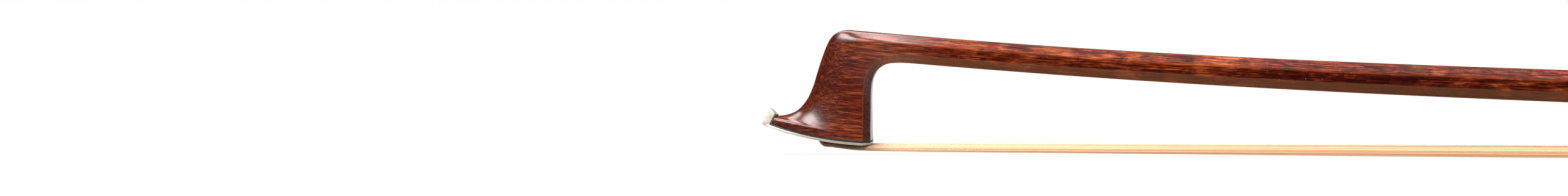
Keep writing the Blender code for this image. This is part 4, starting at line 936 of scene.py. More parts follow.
# Near the start of each hank, where the hair folds out of the head, it is drawn dark brown: dirt on the hair,
# and painted shadow under the head.
fold = 1 - run.above(0.007, 0.018)
colour = horsehair.blend(fold * 0.9, colour, (0.07, 0.028, 0.011))
horsehair.surface(colour, 0.36 + scales * 0.2, (scales, 0.2, 0.00003))
hair.data.materials.append(horsehair.material)
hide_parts("hair_ribbon")
held, drawn = HEAD_REAR + STILL_AT_HEAD, -FROG_FRONT - STILL_AT_FROG
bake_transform(hair)

# Hair in the head. The end of the hank is bound with waxed thread into a knot that lies across the
# mortise, over the maple plug. The hair turns round the front of the plug and out.
PLUG_TOP = 4.6 * MM
SEAT = 0.15 * MM
KNOT_RADIUS = 1.0 * MM
KNOT_ROOM = 0.4 * MM
KNOT_END = 0.5 * MM
FOLD = 1.4 * MM  # where the hair leaves the straight for a bend, and how far it stays from the corner
FOLD_CORNER = 0.45 * MM
THREAD_HALF = 0.16 * MM
THREAD_LEAN = 0.06 * MM
MORTISE_REAR = MORTISE[1][0]
MORTISE_HALF = MORTISE[1][1]
top = PLUG_TOP + SEAT + KNOT_RADIUS
knot_front = MORTISE_REAR - SEAT - 2 * KNOT_RADIUS
turned_half = MORTISE_HALF - SEAT - HAIR_GAP
run_back = [
    (knot_front - HAIR_GAP, top),
    (knot_front - 2.0 * MM, top + HAIR_GAP),
    (front + FOLD, top + HAIR_GAP),
    (front + FOLD_CORNER, top - FOLD_CORNER),
    (front, top - FOLD),
    (front, fold_top + HAIR_GAP),
]
path = [(x, z, turned_half, HAIR_LAYER) for x, z in run_back]
fit(hank("head_hair_end", path, HAIR_END, HEAD, 12, 0.02), horsehair, "stick", "head_hair")


def binding(name, half, middle, where):
    """Thread wound tightly round the end of the hank, as a bar across the bow that swells at every turn."""
    rings = []
    steps = 4 * round(half / THREAD_HALF)
    for i in range(steps + 1):
        across = -half + 2 * half * i / steps
        swell = KNOT_RADIUS - THREAD_HALF * 0.5 + THREAD_HALF * 0.5 * abs(math.sin(math.pi * i / 4))
        swell *= min(1.0, (half - abs(across)) / KNOT_END * 0.5 + 0.5)
        ring = []
        for x, z in circle(swell, 20):
            leaning = max(-half, min(half, across + THREAD_LEAN * z / swell))
            ring.append((middle[0] + x, leaning, middle[1] + z))
        rings.append(ring)
    return smooth(put(loft(name, rings), where), 60)


thread = Finish("waxed_thread")
twist = thread.cloud(thread.place(), (3000, 6000, 3000))
thread.surface(
    thread.blend(twist, (0.16, 0.05, 0.02), (0.42, 0.20, 0.10)),
    0.55 + twist * 0.3,
    (twist, 0.5, 0.00005),
)
knot_x = MORTISE_REAR - SEAT - KNOT_RADIUS
knot = binding("head_binding", MORTISE_HALF - KNOT_ROOM, (knot_x, top), HEAD)
fit(knot, thread, "stick", "head_knot")

# Frog. Cut from one block of ebony: a seat for the handle above, hollowed sides, a rounded throat in front,
# and a mortise and a channel for the hair below. Its rims are rounded with a file and the whole is
# polished.
FROG_DEPTH = 22 * MM
FROG_CHEEK = 1.9 * MM
FROG_BASE_HALF = 6.1 * MM
FROG_WAIST_HALF = 5.3 * MM
FROG_TOP_HALF = 4.95 * MM
FROG_RIM = 0.28 * MM
SIDE_LEVELS = 24
BEAK_SET_BACK = 2.2 * MM
# Down the front of the beak, from its set-back and the axis, in millimetres
BEAK = ((0.4, -1.9), (-0.1, -2.3), (-0.18, -3.1), (-0.2, -4.0), (-0.08, -4.9))
BEAK += ((0.1, -5.4), (0.5, -5.8), (1.2, -6.05))
SHOULDER_DROP = 0.3 * MM
THROAT_RADIUS = 5.2 * MM
THROAT_TURN = (112, -45)
SHOULDER = 53.2 * MM
FERRULE_HALF = 6.5 * MM
FERRULE_TOP = 14.6 * MM
FERRULE_BOTTOM = 22.3 * MM
FERRULE_WALL = 0.5 * MM
FERRULE_CORNER = 1.2 * MM
FERRULE_SPRING = 2.6 * MM  # height over its foot at which its sides turn into its arch
FERRULE_ARCH = 0.8  # how square the arch is
TONGUE_RECESS = 1.3 * MM
CHANNEL_ROOF = 17.9 * MM
HEEL_SHEET = 0.7 * MM
HEEL_PLATE_LENGTH = 8.2 * MM
HEEL_PLATE_RISE = 15.5 * MM
UNDERSLIDE_SHEET = 0.4 * MM
RUN = 0.12 * MM  # room between pieces that slide or turn on each other
SLIDE_HALF = 4.5 * MM
SLIDE_UNDERCUT = 0.35 * MM
PEARL_DEPTH = 0.9 * MM
SLIDE_ROOF = -FROG_DEPTH + PEARL_DEPTH + GLUE + 1.4 * MM + RUN
FROG_MORTISE = (-40.5 * MM, -31.0 * MM)
FROG_MORTISE_HALF = 4.0 * MM
FROG_MORTISE_ROOF = 12.0 * MM
FROG_MIDDLE = 41.7 * MM
EYE_LEVEL = 12.6 * MM
EYE_RADIUS = 3.0 * MM
EYE_RING_WALL = 0.6 * MM
EYE_DEPTH = 0.9 * MM
EYE_PROUD = 0.05 * MM
SHANK_RADIUS = 1.65 * MM
SHANK_FOOT = 9.45 * MM


def octagon(half, offset=0.0):
    """Corners of the handle's eight sides moved outwards by an offset, anticlockwise from the lower right."""
    far = half + offset
    near = FLAT_SHARE * half + (math.sqrt(2) - 1) * offset
    quarter = [(far, -near), (far, near), (near, far), (-near, far)]
    return quarter + [(-y, -z) for y, z in quarter]


def rounded(outline, radius, steps=4):
    """A closed outline with its corners rounded, each to the same count of points."""
    out = []
    for i, corner in enumerate(outline):
        here = Vector(corner)
        before, after = Vector(outline[i - 1]), Vector(outline[(i + 1) % len(outline)])
        a = here + (before - here) * min(0.45, radius / max((before - here).length, 1e-9))
        b = here + (after - here) * min(0.45, radius / max((after - here).length, 1e-9))
        for k in range(steps + 1):
            t = k / steps
            out.append(a.lerp(here, t).lerp(here.lerp(b, t), t))
    return out


def polished(piece, angle=32):
    """Smooths a piece up to its sharp edges and lets its large faces stay flat next to its rounded edges."""
    smooth(piece, angle)
    flat = piece.modifiers.new("flat", "WEIGHTED_NORMAL")
    flat.keep_sharp = True
    return settle(piece)


def frog_half(level):
    """Half the frog's width at a depth below the axis: wider at the foot, and hollowed between."""
    share = min(1.0, max(0.0, (level - FROG_CHEEK) / (FROG_DEPTH - FROG_CHEEK)))
    hollow = (FROG_TOP_HALF + FROG_BASE_HALF) / 2 - FROG_WAIST_HALF
    return FROG_TOP_HALF + (FROG_BASE_HALF - FROG_TOP_HALF) * share - hollow * 4 * share * (1 - share)


def ferrule_outline(inset, count=40):
    """The ferrule's D, flat below and round above, drawn in by an inset."""
    half = FERRULE_HALF - inset
    bottom = -FERRULE_BOTTOM + inset
    top = -FERRULE_TOP - inset
    flat = half - FERRULE_CORNER
    spring = bottom + FERRULE_SPRING
    corner = []
    for t in (0.2, 0.4, 0.6, 0.8):
        corner.append((flat + FERRULE_CORNER * (2 * t - t * t), bottom + FERRULE_CORNER * t * t))
    outline = [(-flat + 2 * flat * k / 6, bottom) for k in range(7)] + corner
    for k in range(count + 1):
        c, s = math.cos(math.pi * k / count), math.sin(math.pi * k / count)
        outline.append((half * flatter(c, FERRULE_ARCH), spring + (top - spring) * s**FERRULE_ARCH))
    return outline + [(-y, z) for y, z in reversed(corner)]


def frog_block():
    """The block as seen from the side, with rounded rims, then drawn in to the width at each depth."""
    rear = -FROG_HEEL - HEEL_SHEET - GLUE
    shoulder = -SHOULDER + GLUE
    reach = THROAT_RADIUS * math.sqrt(0.5)
    throat = Vector((shoulder - reach, -FERRULE_TOP + reach))
    beak = -FROG_FRONT + BEAK_SET_BACK
    plate_front = -FROG_HEEL - HEEL_PLATE_LENGTH - GLUE
    plate_level = -FROG_DEPTH + HEEL_SHEET + GLUE
    outline = [(rear, -FROG_CHEEK)] + [(beak + x * MM, z * MM) for x, z in BEAK]
    first, last = THROAT_TURN
    for k in range(41):
        angle = math.radians(first + (last - first) * k / 40)
        outline.append(tuple(throat + THROAT_RADIUS * Vector((math.cos(angle), math.sin(angle)))))
    outline += [(shoulder, -FERRULE_TOP - SHOULDER_DROP), (shoulder, -FROG_DEPTH), (plate_front, -FROG_DEPTH)]
    outline += [(plate_front, plate_level), (rear, plate_level)]
    sheet = bpy.data.curves.new("frog_outline", "CURVE")
    sheet.dimensions = "2D"
    sheet.fill_mode = "BOTH"
    run = sheet.splines.new("POLY")
    run.points.add(len(outline) - 1)
    for point, (x, z) in zip(run.points, outline):
        point.co = (x, z, 0, 1)
    run.use_cyclic_u = True
    sheet.bevel_depth = FROG_RIM
    sheet.bevel_resolution = 3
    sheet.offset = -FROG_RIM
    sheet.extrude = FROG_BASE_HALF - FROG_RIM
    block = settle(stand("ebony_frog", sheet))
    block.data.transform(Matrix.Rotation(math.pi / 2, 4, "X"))
    shape = bmesh.new()
    shape.from_mesh(block.data)
    bmesh.ops.remove_doubles(shape, verts=shape.verts, dist=1e-7)
    for k in range(1, SIDE_LEVELS):
        level = -FROG_CHEEK - (FROG_DEPTH - FROG_CHEEK) * k / SIDE_LEVELS
        every = shape.verts[:] + shape.edges[:] + shape.faces[:]
        bmesh.ops.bisect_plane(shape, geom=every, plane_co=(0, 0, level), plane_no=(0, 0, 1))
    for point in shape.verts:
        point.co.y *= frog_half(-point.co.z) / FROG_BASE_HALF
    bmesh.ops.recalc_face_normals(shape, faces=shape.faces)
    shape.to_mesh(block.data)
    shape.free()
    return block


def across(piece, x, z):
    """Turns a piece drawn along the handle to lie across it, at a place in its side view."""
    return put(piece, Matrix.Translation((x, 0, z)) @ Matrix.Rotation(math.pi / 2, 4, "Z"))


def upright(piece, x):
    """Turns a piece drawn along the handle to stand up from it."""
    return put(piece, Matrix.Translation((x, 0, 0)) @ Matrix.Rotation(-math.pi / 2, 4, "Y"))


frog = frog_block()
tongue = bar("tongue", ferrule_outline(FERRULE_WALL + GLUE), -FROG_FRONT + TONGUE_RECESS, -SHOULDER + OVER)
low = (-FROG_FRONT - OVER, -FROG_DEPTH, -FROG_DEPTH - OVER)
carve(tongue, brick("tongue_foot", low, (-SHOULDER + 2 * OVER, FROG_DEPTH, -CHANNEL_ROOF)))
carve(frog, tongue, how="UNION")
seat = octagon(HANDLE_FLATS / 2, RUN + UNDERSLIDE_SHEET + GLUE)
seat = [(seat[5][0], OVER)] + seat[5:] + seat[:1] + [(seat[0][0], OVER)]
half = SLIDE_HALF + RUN
face = -FROG_DEPTH + PEARL_DEPTH
groove = [(half, -FROG_DEPTH - OVER), (half, face), (half + SLIDE_UNDERCUT, SLIDE_ROOF)]
groove = [(-half, -FROG_DEPTH - OVER)] + groove + [(-half - SLIDE_UNDERCUT, SLIDE_ROOF), (-half, face)]
channel_rear = FROG_MORTISE[1] - HAIR_GAP
wide, low = FROG_MORTISE_HALF, SLIDE_ROOF - OVER
pocket = EYE_RADIUS + 2 * GLUE + EYE_RING_WALL
pocket_floor = FROG_WAIST_HALF - EYE_DEPTH
eye_face = FROG_WAIST_HALF + EYE_PROUD
carve(
    frog,
    bar("seat", seat, -FROG_FRONT - OVER, -FROG_HEEL + OVER),
    bar("groove", groove, -SHOULDER - OVER, -FROG_HEEL - HEEL_PLATE_LENGTH - GLUE),
    brick("channel", (-SHOULDER - 2 * OVER, -wide, low), (channel_rear, wide, -CHANNEL_ROOF)),
    brick("mortise", (FROG_MORTISE[0], -wide, low), (FROG_MORTISE[1], wide, -FROG_MORTISE_ROOF)),
    upright(tube("shank_hole", SHANK_RADIUS, (-SHANK_FOOT, 0)), -EYELET_PLACE),
    across(tube("left_pocket", pocket, (-eye_face - OVER, -pocket_floor), 64), -FROG_MIDDLE, -EYE_LEVEL),
    across(tube("right_pocket", pocket, (pocket_floor, eye_face + OVER), 64), -FROG_MIDDLE, -EYE_LEVEL),
)
polished(frog, 40)

ebony = Finish("polished_ebony", Specular_IOR_Level=0.25, Coat_Weight=0.12, Coat_Roughness=0.12, IOR=1.5)
place = ebony.place()
bands = ebony.cloud(place, (90, 900, 700), 4.0, 0.6, 0.4, turn=(0, 0.04, 0))
fibre = ebony.cloud(place, (420, 7000, 7000), 2.0, 0.6, turn=(0, 0.03, 0))
pores = ebony.cloud(place, (600, 6500, 6500), 1.0, 0.4, turn=(0, 0.03, 0)).above(0.66, 0.74)
worn = ebony.kept("worn")
rub = ebony.cloud(place, 320.0, 3.0, 0.6)
colour = ebony.ramp(
    bands * 0.8 + fibre * 0.3 - 0.05,
    (0.3, (0.0055, 0.0045, 0.004)),
    (0.55, (0.013, 0.0095, 0.008)),
    (0.75, (0.034, 0.022, 0.016)),
)
colour = ebony.over(colour, (pores * 0.6, (0.055, 0.043, 0.034)), (worn * 0.35, (0.06, 0.045, 0.036)))
ebony.surface(
    colour,
    0.2 + fibre * 0.14 + rub * 0.12 + pores * 0.2 - worn * 0.05,
    (fibre * 0.4 - pores, 0.25, 0.00005),
)


def mount(piece, finish, body, node):
    """Marks the edges of a piece that is drawn along the handle, puts it in its place and fits it."""
    mark_edges(piece)
    fit(put(piece, HANDLE), finish, body, node)


mount(frog, ebony, "frog", "frog")

# Ferrule. A silver D soldered from a domed top and a flat foot, pushed over the frog's tongue. It spreads
# the hair with the maple wedge behind its mouth, and its lips are rounded and burnished.
RIM = (
    # Inset and distance from the end, in millimetres, round the lip and then over a fine line
    (0.5, 0.16),
    (0.42, 0.05),
    (0.3, 0.0),
    (0.17, 0.02),
    (0.05, 0.1),
    (0.0, 0.24),
    (0.0, 1.1),
    (0.05, 1.22),
    (0.0, 1.34),
)
stations = [(inset * MM, -FROG_FRONT + step * MM) for inset, step in RIM]
stations += [(inset * MM, -SHOULDER - step * MM) for inset, step in reversed(RIM)]
rings = [[(x, y, z) for y, z in ferrule_outline(inset)] for inset, x in stations]
ferrule = polished(loft("silver_ferrule", rings, True), 50)


def polished_silver(name, brushed):
    """Silver with fine wiping marks, a film of tarnish, and bright worn edges."""
    silver = Finish(name, Metallic=1.0)
    place = silver.place()
    film = silver.cloud(place, 210.0, 4.0, 0.6, 0.5)
    spots = silver.cloud(place, 1500.0, 2.0).above(0.62, 0.8)
    wiping = silver.cloud(place, brushed, 2.0, 0.7, turn=(0.1, 0.05, 0.2))
    hairlines = silver.cloud(place, (600, 9000, 2500), 1.0, turn=(0.5, 0.3, 0.7)).above(0.66, 0.7)
    worn = silver.kept("worn")
    tarnish = film.above(0.42, 0.72) * (1 - worn)
    colour = silver.over(
        silver.blend(tarnish * 0.75, (0.80, 0.79, 0.765), (0.55, 0.49, 0.40)),
        (spots * tarnish * 0.6, (0.24, 0.19, 0.14)),
        (worn * 0.6, (0.90, 0.895, 0.875)),
    )
    silver.surface(
        colour,
        0.13 + wiping * 0.16 + tarnish * 0.16 + hairlines * 0.08,
        (wiping * 0.5 + hairlines * 0.5, 0.12, 0.00004),
    )
    return silver


silver = polished_silver("polished_silver", (500, 6000, 6000))
mount(ferrule, silver, "frog", "ferrule")


def dress(finish, *names):
    """Gives pieces of the CAD frame, whose shape is right, their finish."""
    for name in names:
        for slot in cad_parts[name].material_slots:
            slot.link = "OBJECT"
            slot.material = finish.material


dress(silver, "underslide")

# Eyes. A disc of shell in a ring of silver, cemented into a round pocket in each side of the frog. The disc
# is polished to a low dome, and the lips of the ring are rounded.
EYE_DOME = 0.12 * MM
DISC_BEVEL = 0.12 * MM  # the side of a disc ends this far below its face
DISC_INSET = 0.04 * MM
DISC_SUNK = 0.05 * MM
PIP = 0.02 * MM  # radius of the point in its middle


def turned(edge, place, steps):
    """Profile points from steps (outwards from an edge, along from a place) in millimetres."""
    return [(edge + out * MM, place + along * MM) for out, along in steps]


def domed_disc(name, radius, floor, face, dome):
    """A disc of shell, its rim a little below a face and its middle domed by polishing."""
    profile = [(PIP, floor), (radius, floor), (radius, face - DISC_BEVEL)]
    for k in range(9):
        out = (radius - DISC_INSET) * (1 - k / 8) + PIP
        profile.append((out, face - DISC_SUNK + dome * (1 - (out / radius) ** 2)))
    return lathe(name, profile)


floor = pocket_floor + GLUE
ring_inner = EYE_RADIUS + GLUE
ring_outer = ring_inner + EYE_RING_WALL
ring_profile = [(ring_inner, floor), (ring_outer, floor)]
ring_profile += turned(ring_outer, eye_face, ((0, -0.1), (-0.05, -0.02), (-0.18, 0.04)))
ring_profile += turned(ring_inner, eye_face, ((0.18, 0.05), (0.05, 0.01), (0, -0.1)))


def polished_shell(name, seed, depth):
    """Mother of pearl: layers that show as soft bands of colour, with a deep gloss."""
    shell = Finish(name, Coat_Weight=0.6, Coat_Roughness=0.05, IOR=1.56)
    place = shell.stretch(shell.place(), (1, 1, 1), (seed, seed * 0.7, seed * 1.3))
    swirl = shell.cloud(place, (130, 600, 300), 2.0, 0.5, 1.2)
    layers = shell.cloud(place, (300, 2200, 1100), 3.0, 0.6, 0.8)
    cells = shell.cloud(place, 3200.0, 2.0)
    gleam = shell.node("ShaderNodeLayerWeight", None, {"Blend": 0.35}, out=1)
    colour = shell.ramp(
        swirl * 0.75 + layers * 0.4 - 0.06,
        (0.28, (0.52, 0.60, 0.60)),
        (0.40, (0.46, 0.63, 0.58)),
        (0.47, (0.68, 0.74, 0.70)),
        (0.54, (0.76, 0.72, 0.66)),
        (0.61, (0.72, 0.58, 0.61)),
        (0.70, (0.78, 0.78, 0.74)),
        (0.80, (0.54, 0.58, 0.68)),
    )
    colour = shell.blend(cells.above(0.55, 0.8) * 0.15, colour, (0.86, 0.86, 0.82))
    shell.surface(colour, 0.1 + layers * 0.14 + gleam * 0.08, (layers, 0.3, depth))
    return shell


shell_eye = polished_shell("shell_eye", 0.9, 0.00006)
for side, word in ((-1, "left"), (1, "right")):
    ring = lathe("eye_ring_silver_" + word, ring_profile, 64, True)
    disc = domed_disc("eye_shell_" + word, EYE_RADIUS, floor, eye_face, EYE_DOME)
    for piece, finish, slot, node in (
        (ring, silver, "silver", "eye_ring_" + word),
        (disc, shell_eye, "pearl", "eye_" + word),
    ):
        piece.data.transform(Matrix.Scale(side, 4, (1, 0, 0)))
        across(polished(outward(piece), 35), -FROG_MIDDLE, -EYE_LEVEL)
        mount(piece, finish, "frog", node)

# Slide. A slip of shell glued to a strip of ebony with dovetailed edges, which is pushed into its groove
# over the hair's channel. The shell is polished level with the foot of the frog.
SHEET_EDGE = 0.12 * MM
slide_rear = -FROG_HEEL - HEEL_PLATE_LENGTH - GLUE - RUN
slide_front = -SHOULDER + RUN
low, high = (slide_front, -SLIDE_HALF, -FROG_DEPTH), (slide_rear, SLIDE_HALF, -FROG_DEPTH + PEARL_DEPTH)
pearl = polished(soften(brick("shell_slide", low, high), SHEET_EDGE, 3))
mount(pearl, polished_shell("shell_slide", 2.1, 0.00008), "frog", "pearl_slide")
dress(ebony, "slide_base")

# Heel plates. Two sheets of silver, one over the foot of the heel and one up its rear face with a rounded
# crown, glued and held by silver pins that are filed almost flush.
HEEL_SET_IN = 0.1 * MM
CROWN_RISE = 1.6 * MM
CROWN_SQUARE = 0.28  # how square its crown is across the bow
BACK_EDGE = 0.14 * MM
FOOT_PINS = ((-24.9, -3.6), (-24.9, 3.6))
BACK_PINS = ((-3.4, -19.6), (3.4, -19.6), (0.0, -9.4))
PIN = ((0.02, -0.3), (0.42, -0.3), (0.42, -0.01), (0.32, 0.03), (0.02, 0.05))
foot = FROG_BASE_HALF - HEEL_SET_IN
crown_half = FROG_WAIST_HALF - 3 * HEEL_SET_IN
crown = -FROG_DEPTH + HEEL_PLATE_RISE - CROWN_RISE


def pin(spot, turn=Matrix.Identity(4)):
    """The flat dome of a pin that shows at a face."""
    return put(lathe("pin", turned(0, 0, PIN), 24), Matrix.Translation(spot) @ turn)


low = (-FROG_HEEL - HEEL_PLATE_LENGTH, -foot, -FROG_DEPTH)
high = (-FROG_HEEL - HEEL_SHEET - GLUE, foot, -FROG_DEPTH + HEEL_SHEET)
lower = soften(brick("heel_plate_foot", low, high), SHEET_EDGE, 3)
down = Matrix.Rotation(math.pi / 2, 4, "Y")
carve(lower, *[pin((x * MM, y * MM, -FROG_DEPTH), down) for x, y in FOOT_PINS], how="UNION")

outline = [(-foot, -FROG_DEPTH), (foot, -FROG_DEPTH)]
for k in range(25):
    c, s = math.cos(math.pi * k / 24), math.sin(math.pi * k / 24)
    outline.append((crown_half * flatter(c, CROWN_SQUARE), crown + CROWN_RISE * s**0.6))
upper = soften(bar("heel_plate_back", outline, -FROG_HEEL - HEEL_SHEET, -FROG_HEEL), BACK_EDGE, 3, 50)
carve(upper, *[pin((-FROG_HEEL, y * MM, z * MM)) for y, z in BACK_PINS], how="UNION")
heel_silver = polished_silver("heel_silver", (6000, 5200, 500))
mount(polished(lower, 50), heel_silver, "frog", "heel_plate_lower")
mount(polished(upper, 50), heel_silver, "frog", "heel_plate_upper")

# Inside of the frog. The hank's knot sits over a maple plug in the mortise, the hair folds round the plug
# and runs forward, and a maple wedge over it at the mouth of the ferrule spreads it flat. A brass eyelet
# joins the frog to the screw.
LEVEL_END = 0.6 * MM  # the hair runs level to here, in front of the frog's shoulder
WEDGE_BACK = 4.4 * MM  # and the rear of the wedge lies here
WEDGE_LIFT = 0.35 * MM
MOUTH_DEPTH = 0.9 * MM
BEND = 1.3 * MM  # as FOLD and FOLD_CORNER, round the plug of the frog
BEND_CORNER = 0.4 * MM
hair_level = SLIDE_ROOF + HAIR_GAP + HAIR_LAYER / 2
plug_top = -FROG_MORTISE_ROOF - 2 * KNOT_RADIUS - 2 * SEAT
knot_place = (FROG_MORTISE[0] + SEAT + KNOT_RADIUS, plug_top + SEAT + KNOT_RADIUS)
turned_half = FROG_MORTISE_HALF - SEAT - HAIR_GAP
back = FROG_MORTISE[1] - HAIR_GAP - HAIR_LAYER / 2
wedge_rear = -SHOULDER - WEDGE_BACK
mouth = -FROG_FRONT + MOUTH_DEPTH
bends = [
    (knot_place[0] + KNOT_RADIUS + HAIR_GAP, knot_place[1]),
    (back - BEND, knot_place[1]),
    (back - BEND_CORNER, knot_place[1] - BEND_CORNER),
    (back, knot_place[1] - BEND),
    (back, hair_level + BEND),
    (back - BEND_CORNER, hair_level + BEND_CORNER),
    (back - BEND, hair_level),
    (FROG_MORTISE[0], hair_level),
    (-SHOULDER - LEVEL_END, hair_level),
]
path = [(x, z, turned_half, HAIR_LAYER) for x, z in bends]
path.append((wedge_rear, -HAIR_BELOW_AXIS + WEDGE_LIFT, turned_half * 1.15, HAIR_LAYER))
path.append((mouth, -HAIR_BELOW_AXIS, HAIR_AT_FROG_HALF, HAIR_THIN))
inner_hair = hank("frog_hair_end", path, HAIR_END, HANDLE, 13, 0.02)
fit(inner_hair, horsehair, "frog", "frog_hair")
knot = binding("frog_binding", FROG_MORTISE_HALF - KNOT_ROOM, knot_place, HANDLE)
fit(knot, thread, "frog", "frog_knot")

maple = Finish("bare_maple")
place = maple.place()
bands = maple.cloud(place, (120, 1500, 1500), 4.0, 0.6, 0.5)
fibre = maple.cloud(place, (500, 8000, 8000), 2.0)
maple.surface(
    maple.blend(bands * 0.7 + fibre * 0.3, (0.44, 0.27, 0.13), (0.74, 0.56, 0.34)),
    0.5 + fibre * 0.25,
    (fibre, 0.3, 0.00004),
)
dress(maple, "spread_wedge", "frog_plug", "head_plug")

brass = Finish("turned_brass", Metallic=1.0)
turning = brass.cloud(brass.place(), (7000, 900, 900), 2.0)
dull = brass.cloud(brass.place(), 700.0, 3.0)
brass.surface(
    brass.blend(dull, (0.50, 0.33, 0.11), (0.74, 0.56, 0.26)),
    0.22 + turning * 0.25,
    (turning, 0.2, 0.00003),
)
dress(brass, "eyelet")

# Screw and button. A steel screw runs in the handle, and its square tang is driven into the button:
# eight-sided ebony between two turned silver collars, with a shell disc in its end.
BUTTON_LENGTH = 13.6 * MM
BUTTON_FLATS = 8.2 * MM
COLLAR_RADIUS = 4.3 * MM
COLLAR_WALL = 0.6 * MM
LINE_SPACE = 0.28 * MM  # of a turned line from the middle of its collar
FRONT_COLLAR = 2.2 * MM
REAR_COLLAR = 2.4 * MM
DOT_RADIUS = 2.3 * MM
DOT_DEPTH = 0.8 * MM
DOT_DOME = 0.06 * MM
NIPPLE_ROOM = 3.0 * MM
TANG_START = -11.0 * MM
TANG_END = -3.8 * MM
JOURNAL_ROOM = 1.65 * MM
TANG_ROOM = 1.35 * MM
CORE_EDGE = 0.32 * MM
# From each end of the ebony inwards: along, and how far it is drawn in, in millimetres
CORE_END = ((0.0, 0.25), (0.08, 0.1), (0.25, 0.0))

core_front = -BUTTON_LENGTH + FRONT_COLLAR + GLUE
core_rear = -REAR_COLLAR - GLUE
ends = [(core_front + step * MM, shrink) for step, shrink in CORE_END]
ends += [(core_rear - step * MM, shrink) for step, shrink in reversed(CORE_END)]
rings = []
for place, shrink in ends:
    outline = rounded(octagon(BUTTON_FLATS / 2 - shrink * MM), CORE_EDGE)
    rings.append([(place, p.x, p.y) for p in outline])
core = loft("button_ebony", rings)
spigot = COLLAR_RADIUS - COLLAR_WALL - GLUE
carve(
    core,
    tube("front_spigot", spigot, (-BUTTON_LENGTH + GLUE, core_front + OVER), 48),
    tube("rear_spigot", spigot, (core_rear - OVER, -DOT_DEPTH - GLUE), 48),
    how="UNION",
)
carve(
    core,
    tube("nipple_room", NIPPLE_ROOM, (-BUTTON_LENGTH - OVER, TANG_START - SEAT), 48),
    tube("journal_room", JOURNAL_ROOM, (-BUTTON_LENGTH, TANG_START + GLUE)),
    tube("tang_room", TANG_ROOM, (TANG_START - OVER, TANG_END + GLUE)),
)
mount(polished(core, 40), ebony, "screw", "button_core")

inner = COLLAR_RADIUS - COLLAR_WALL
collar_silver = polished_silver("turned_silver", (7000, 700, 700))


def collar(name, front, rear, bore, node):
    """A turned collar with rounded lips and two fine lines cut in it, closed by the points of its bore."""
    middle = (front + rear) / 2
    profile = [(inner, front)]
    profile += turned(COLLAR_RADIUS, front, ((-0.32, 0), (-0.12, 0.06), (-0.02, 0.2), (0, 0.36)))
    for line in (middle - LINE_SPACE, middle + LINE_SPACE):
        profile += turned(COLLAR_RADIUS, line, ((0, -0.1), (-0.09, 0), (0, 0.1)))
    profile += turned(COLLAR_RADIUS, rear, ((0, -0.5), (-0.06, -0.3), (-0.24, -0.1), (-0.5, 0)))
    mount(polished(lathe(name, profile + bore, 72, True), 50), collar_silver, "screw", node)


shoulder = -BUTTON_LENGTH + FRONT_COLLAR
collar("front_collar", -BUTTON_LENGTH, shoulder, [(inner, shoulder)], "button_front_collar")
seat = DOT_RADIUS + GLUE
bore = turned(seat, 0, ((0.08, 0), (0, -0.06))) + [(seat, -DOT_DEPTH), (inner, -DOT_DEPTH)]
collar("rear_collar", -REAR_COLLAR, 0.0, bore, "button_rear_collar")
dot = domed_disc("button_shell", DOT_RADIUS, -DOT_DEPTH, 0.0, DOT_DOME)
mount(polished(dot, 35), shell_eye, "screw", "button_eye")

steel = Finish("drawn_steel", Metallic=1.0)
drawn = steel.cloud(steel.place(), (500, 8000, 8000), 2.0)
oily = steel.cloud(steel.place(), 500.0, 3.0)
steel.surface(
    steel.blend(oily, (0.36, 0.35, 0.34), (0.60, 0.60, 0.61)),
    0.2 + drawn * 0.3,
    (drawn, 0.2, 0.00003),
)
dress(steel, "screw")

# Thumb grip. A strip of goatskin, wrapped round the handle in front of the frog and glued where it overlaps
# on the far side. Its ends are pared thin, and use has stained it and rubbed it.
GRIP_REAR = 69.7 * MM
GRIP_FRONT = 93.7 * MM
GRIP_LEATHER = 0.9 * MM
GRIP_STEP = 0.35 * MM
GRIP_SIDES = 12  # points on each of the eight sides
SEAM_LAP = 0.2 * MM
PARED_EDGE = 0.12 * MM
SEAM = 0.93  # where the lap begins and how far it reaches, in turns round the handle
SEAM_REACH = 0.22
# Millimetres from the rear, and the share of the leather's thickness that paring leaves
PARED = ((0.0, 0.42), (0.25, 0.62), (0.8, 0.95), (2.0, 1.0))
PARED += ((18.0, 1.0), (21.5, 0.9), (23.3, 0.62), (24.0, 0.36))


def sleeve_point(turn, offset, corner=0.14):
    """A point round the handle at an offset, with softened corners. A turn of 1 goes once round."""
    corners = [Vector(c) for c in octagon(HANDLE_FLATS / 2, offset)]
    side = math.floor(turn * 8)
    share = turn * 8 - side
    a, b = corners[side % 8], corners[(side + 1) % 8]
    point = a.lerp(b, share)
    for near, edge, other in ((share, a, corners[(side - 1) % 8]), (1 - share, b, corners[(side + 2) % 8])):
        if near < corner:
            own = b if edge is a else a
            t = 0.5 + 0.5 * near / corner
            start, end = edge.lerp(other, corner), edge.lerp(own, corner)
            point = start.lerp(edge, t).lerp(edge.lerp(end, t), t)
    return point


count = 8 * GRIP_SIDES
rows = round((GRIP_FRONT - GRIP_REAR) / GRIP_STEP)
outer, lining = [], []
for k in range(rows + 1):
    along = GRIP_REAR + (GRIP_FRONT - GRIP_REAR) * k / rows
    thick = read_table(PARED, (along - GRIP_REAR) / MM) * GRIP_LEATHER
    outer.append([])
    lining.append([])
    for i in range(count):
        turn = (i + 0.5) / count
        seam = (turn - SEAM) % 1.0
        lap = SEAM_LAP * max(0.0, 1 - seam / SEAM_REACH) * (1 if seam > 0.004 else 0.2)
        lap *= min(1.0, thick / (0.6 * GRIP_LEATHER))
        angle = 2 * math.pi * turn
        wave = noise.noise((along * 700, math.cos(angle) * 2.2, math.sin(angle) * 2.2))
        crease = noise.noise((along * 2600, turn * 60, 3.0))
        room = thick * (0.93 + 0.035 * wave + 0.02 * crease) - SEAM_LAP * 0.6
        p = sleeve_point(turn, SEAT + max(PARED_EDGE, room + lap))
        q = sleeve_point(turn, SEAT)
        outer[-1].append((-along, p.x, p.y))
        lining[-1].append((-along, q.x, q.y))
grip = smooth(loft("goatskin_grip", outer + lining[::-1], True), 50)
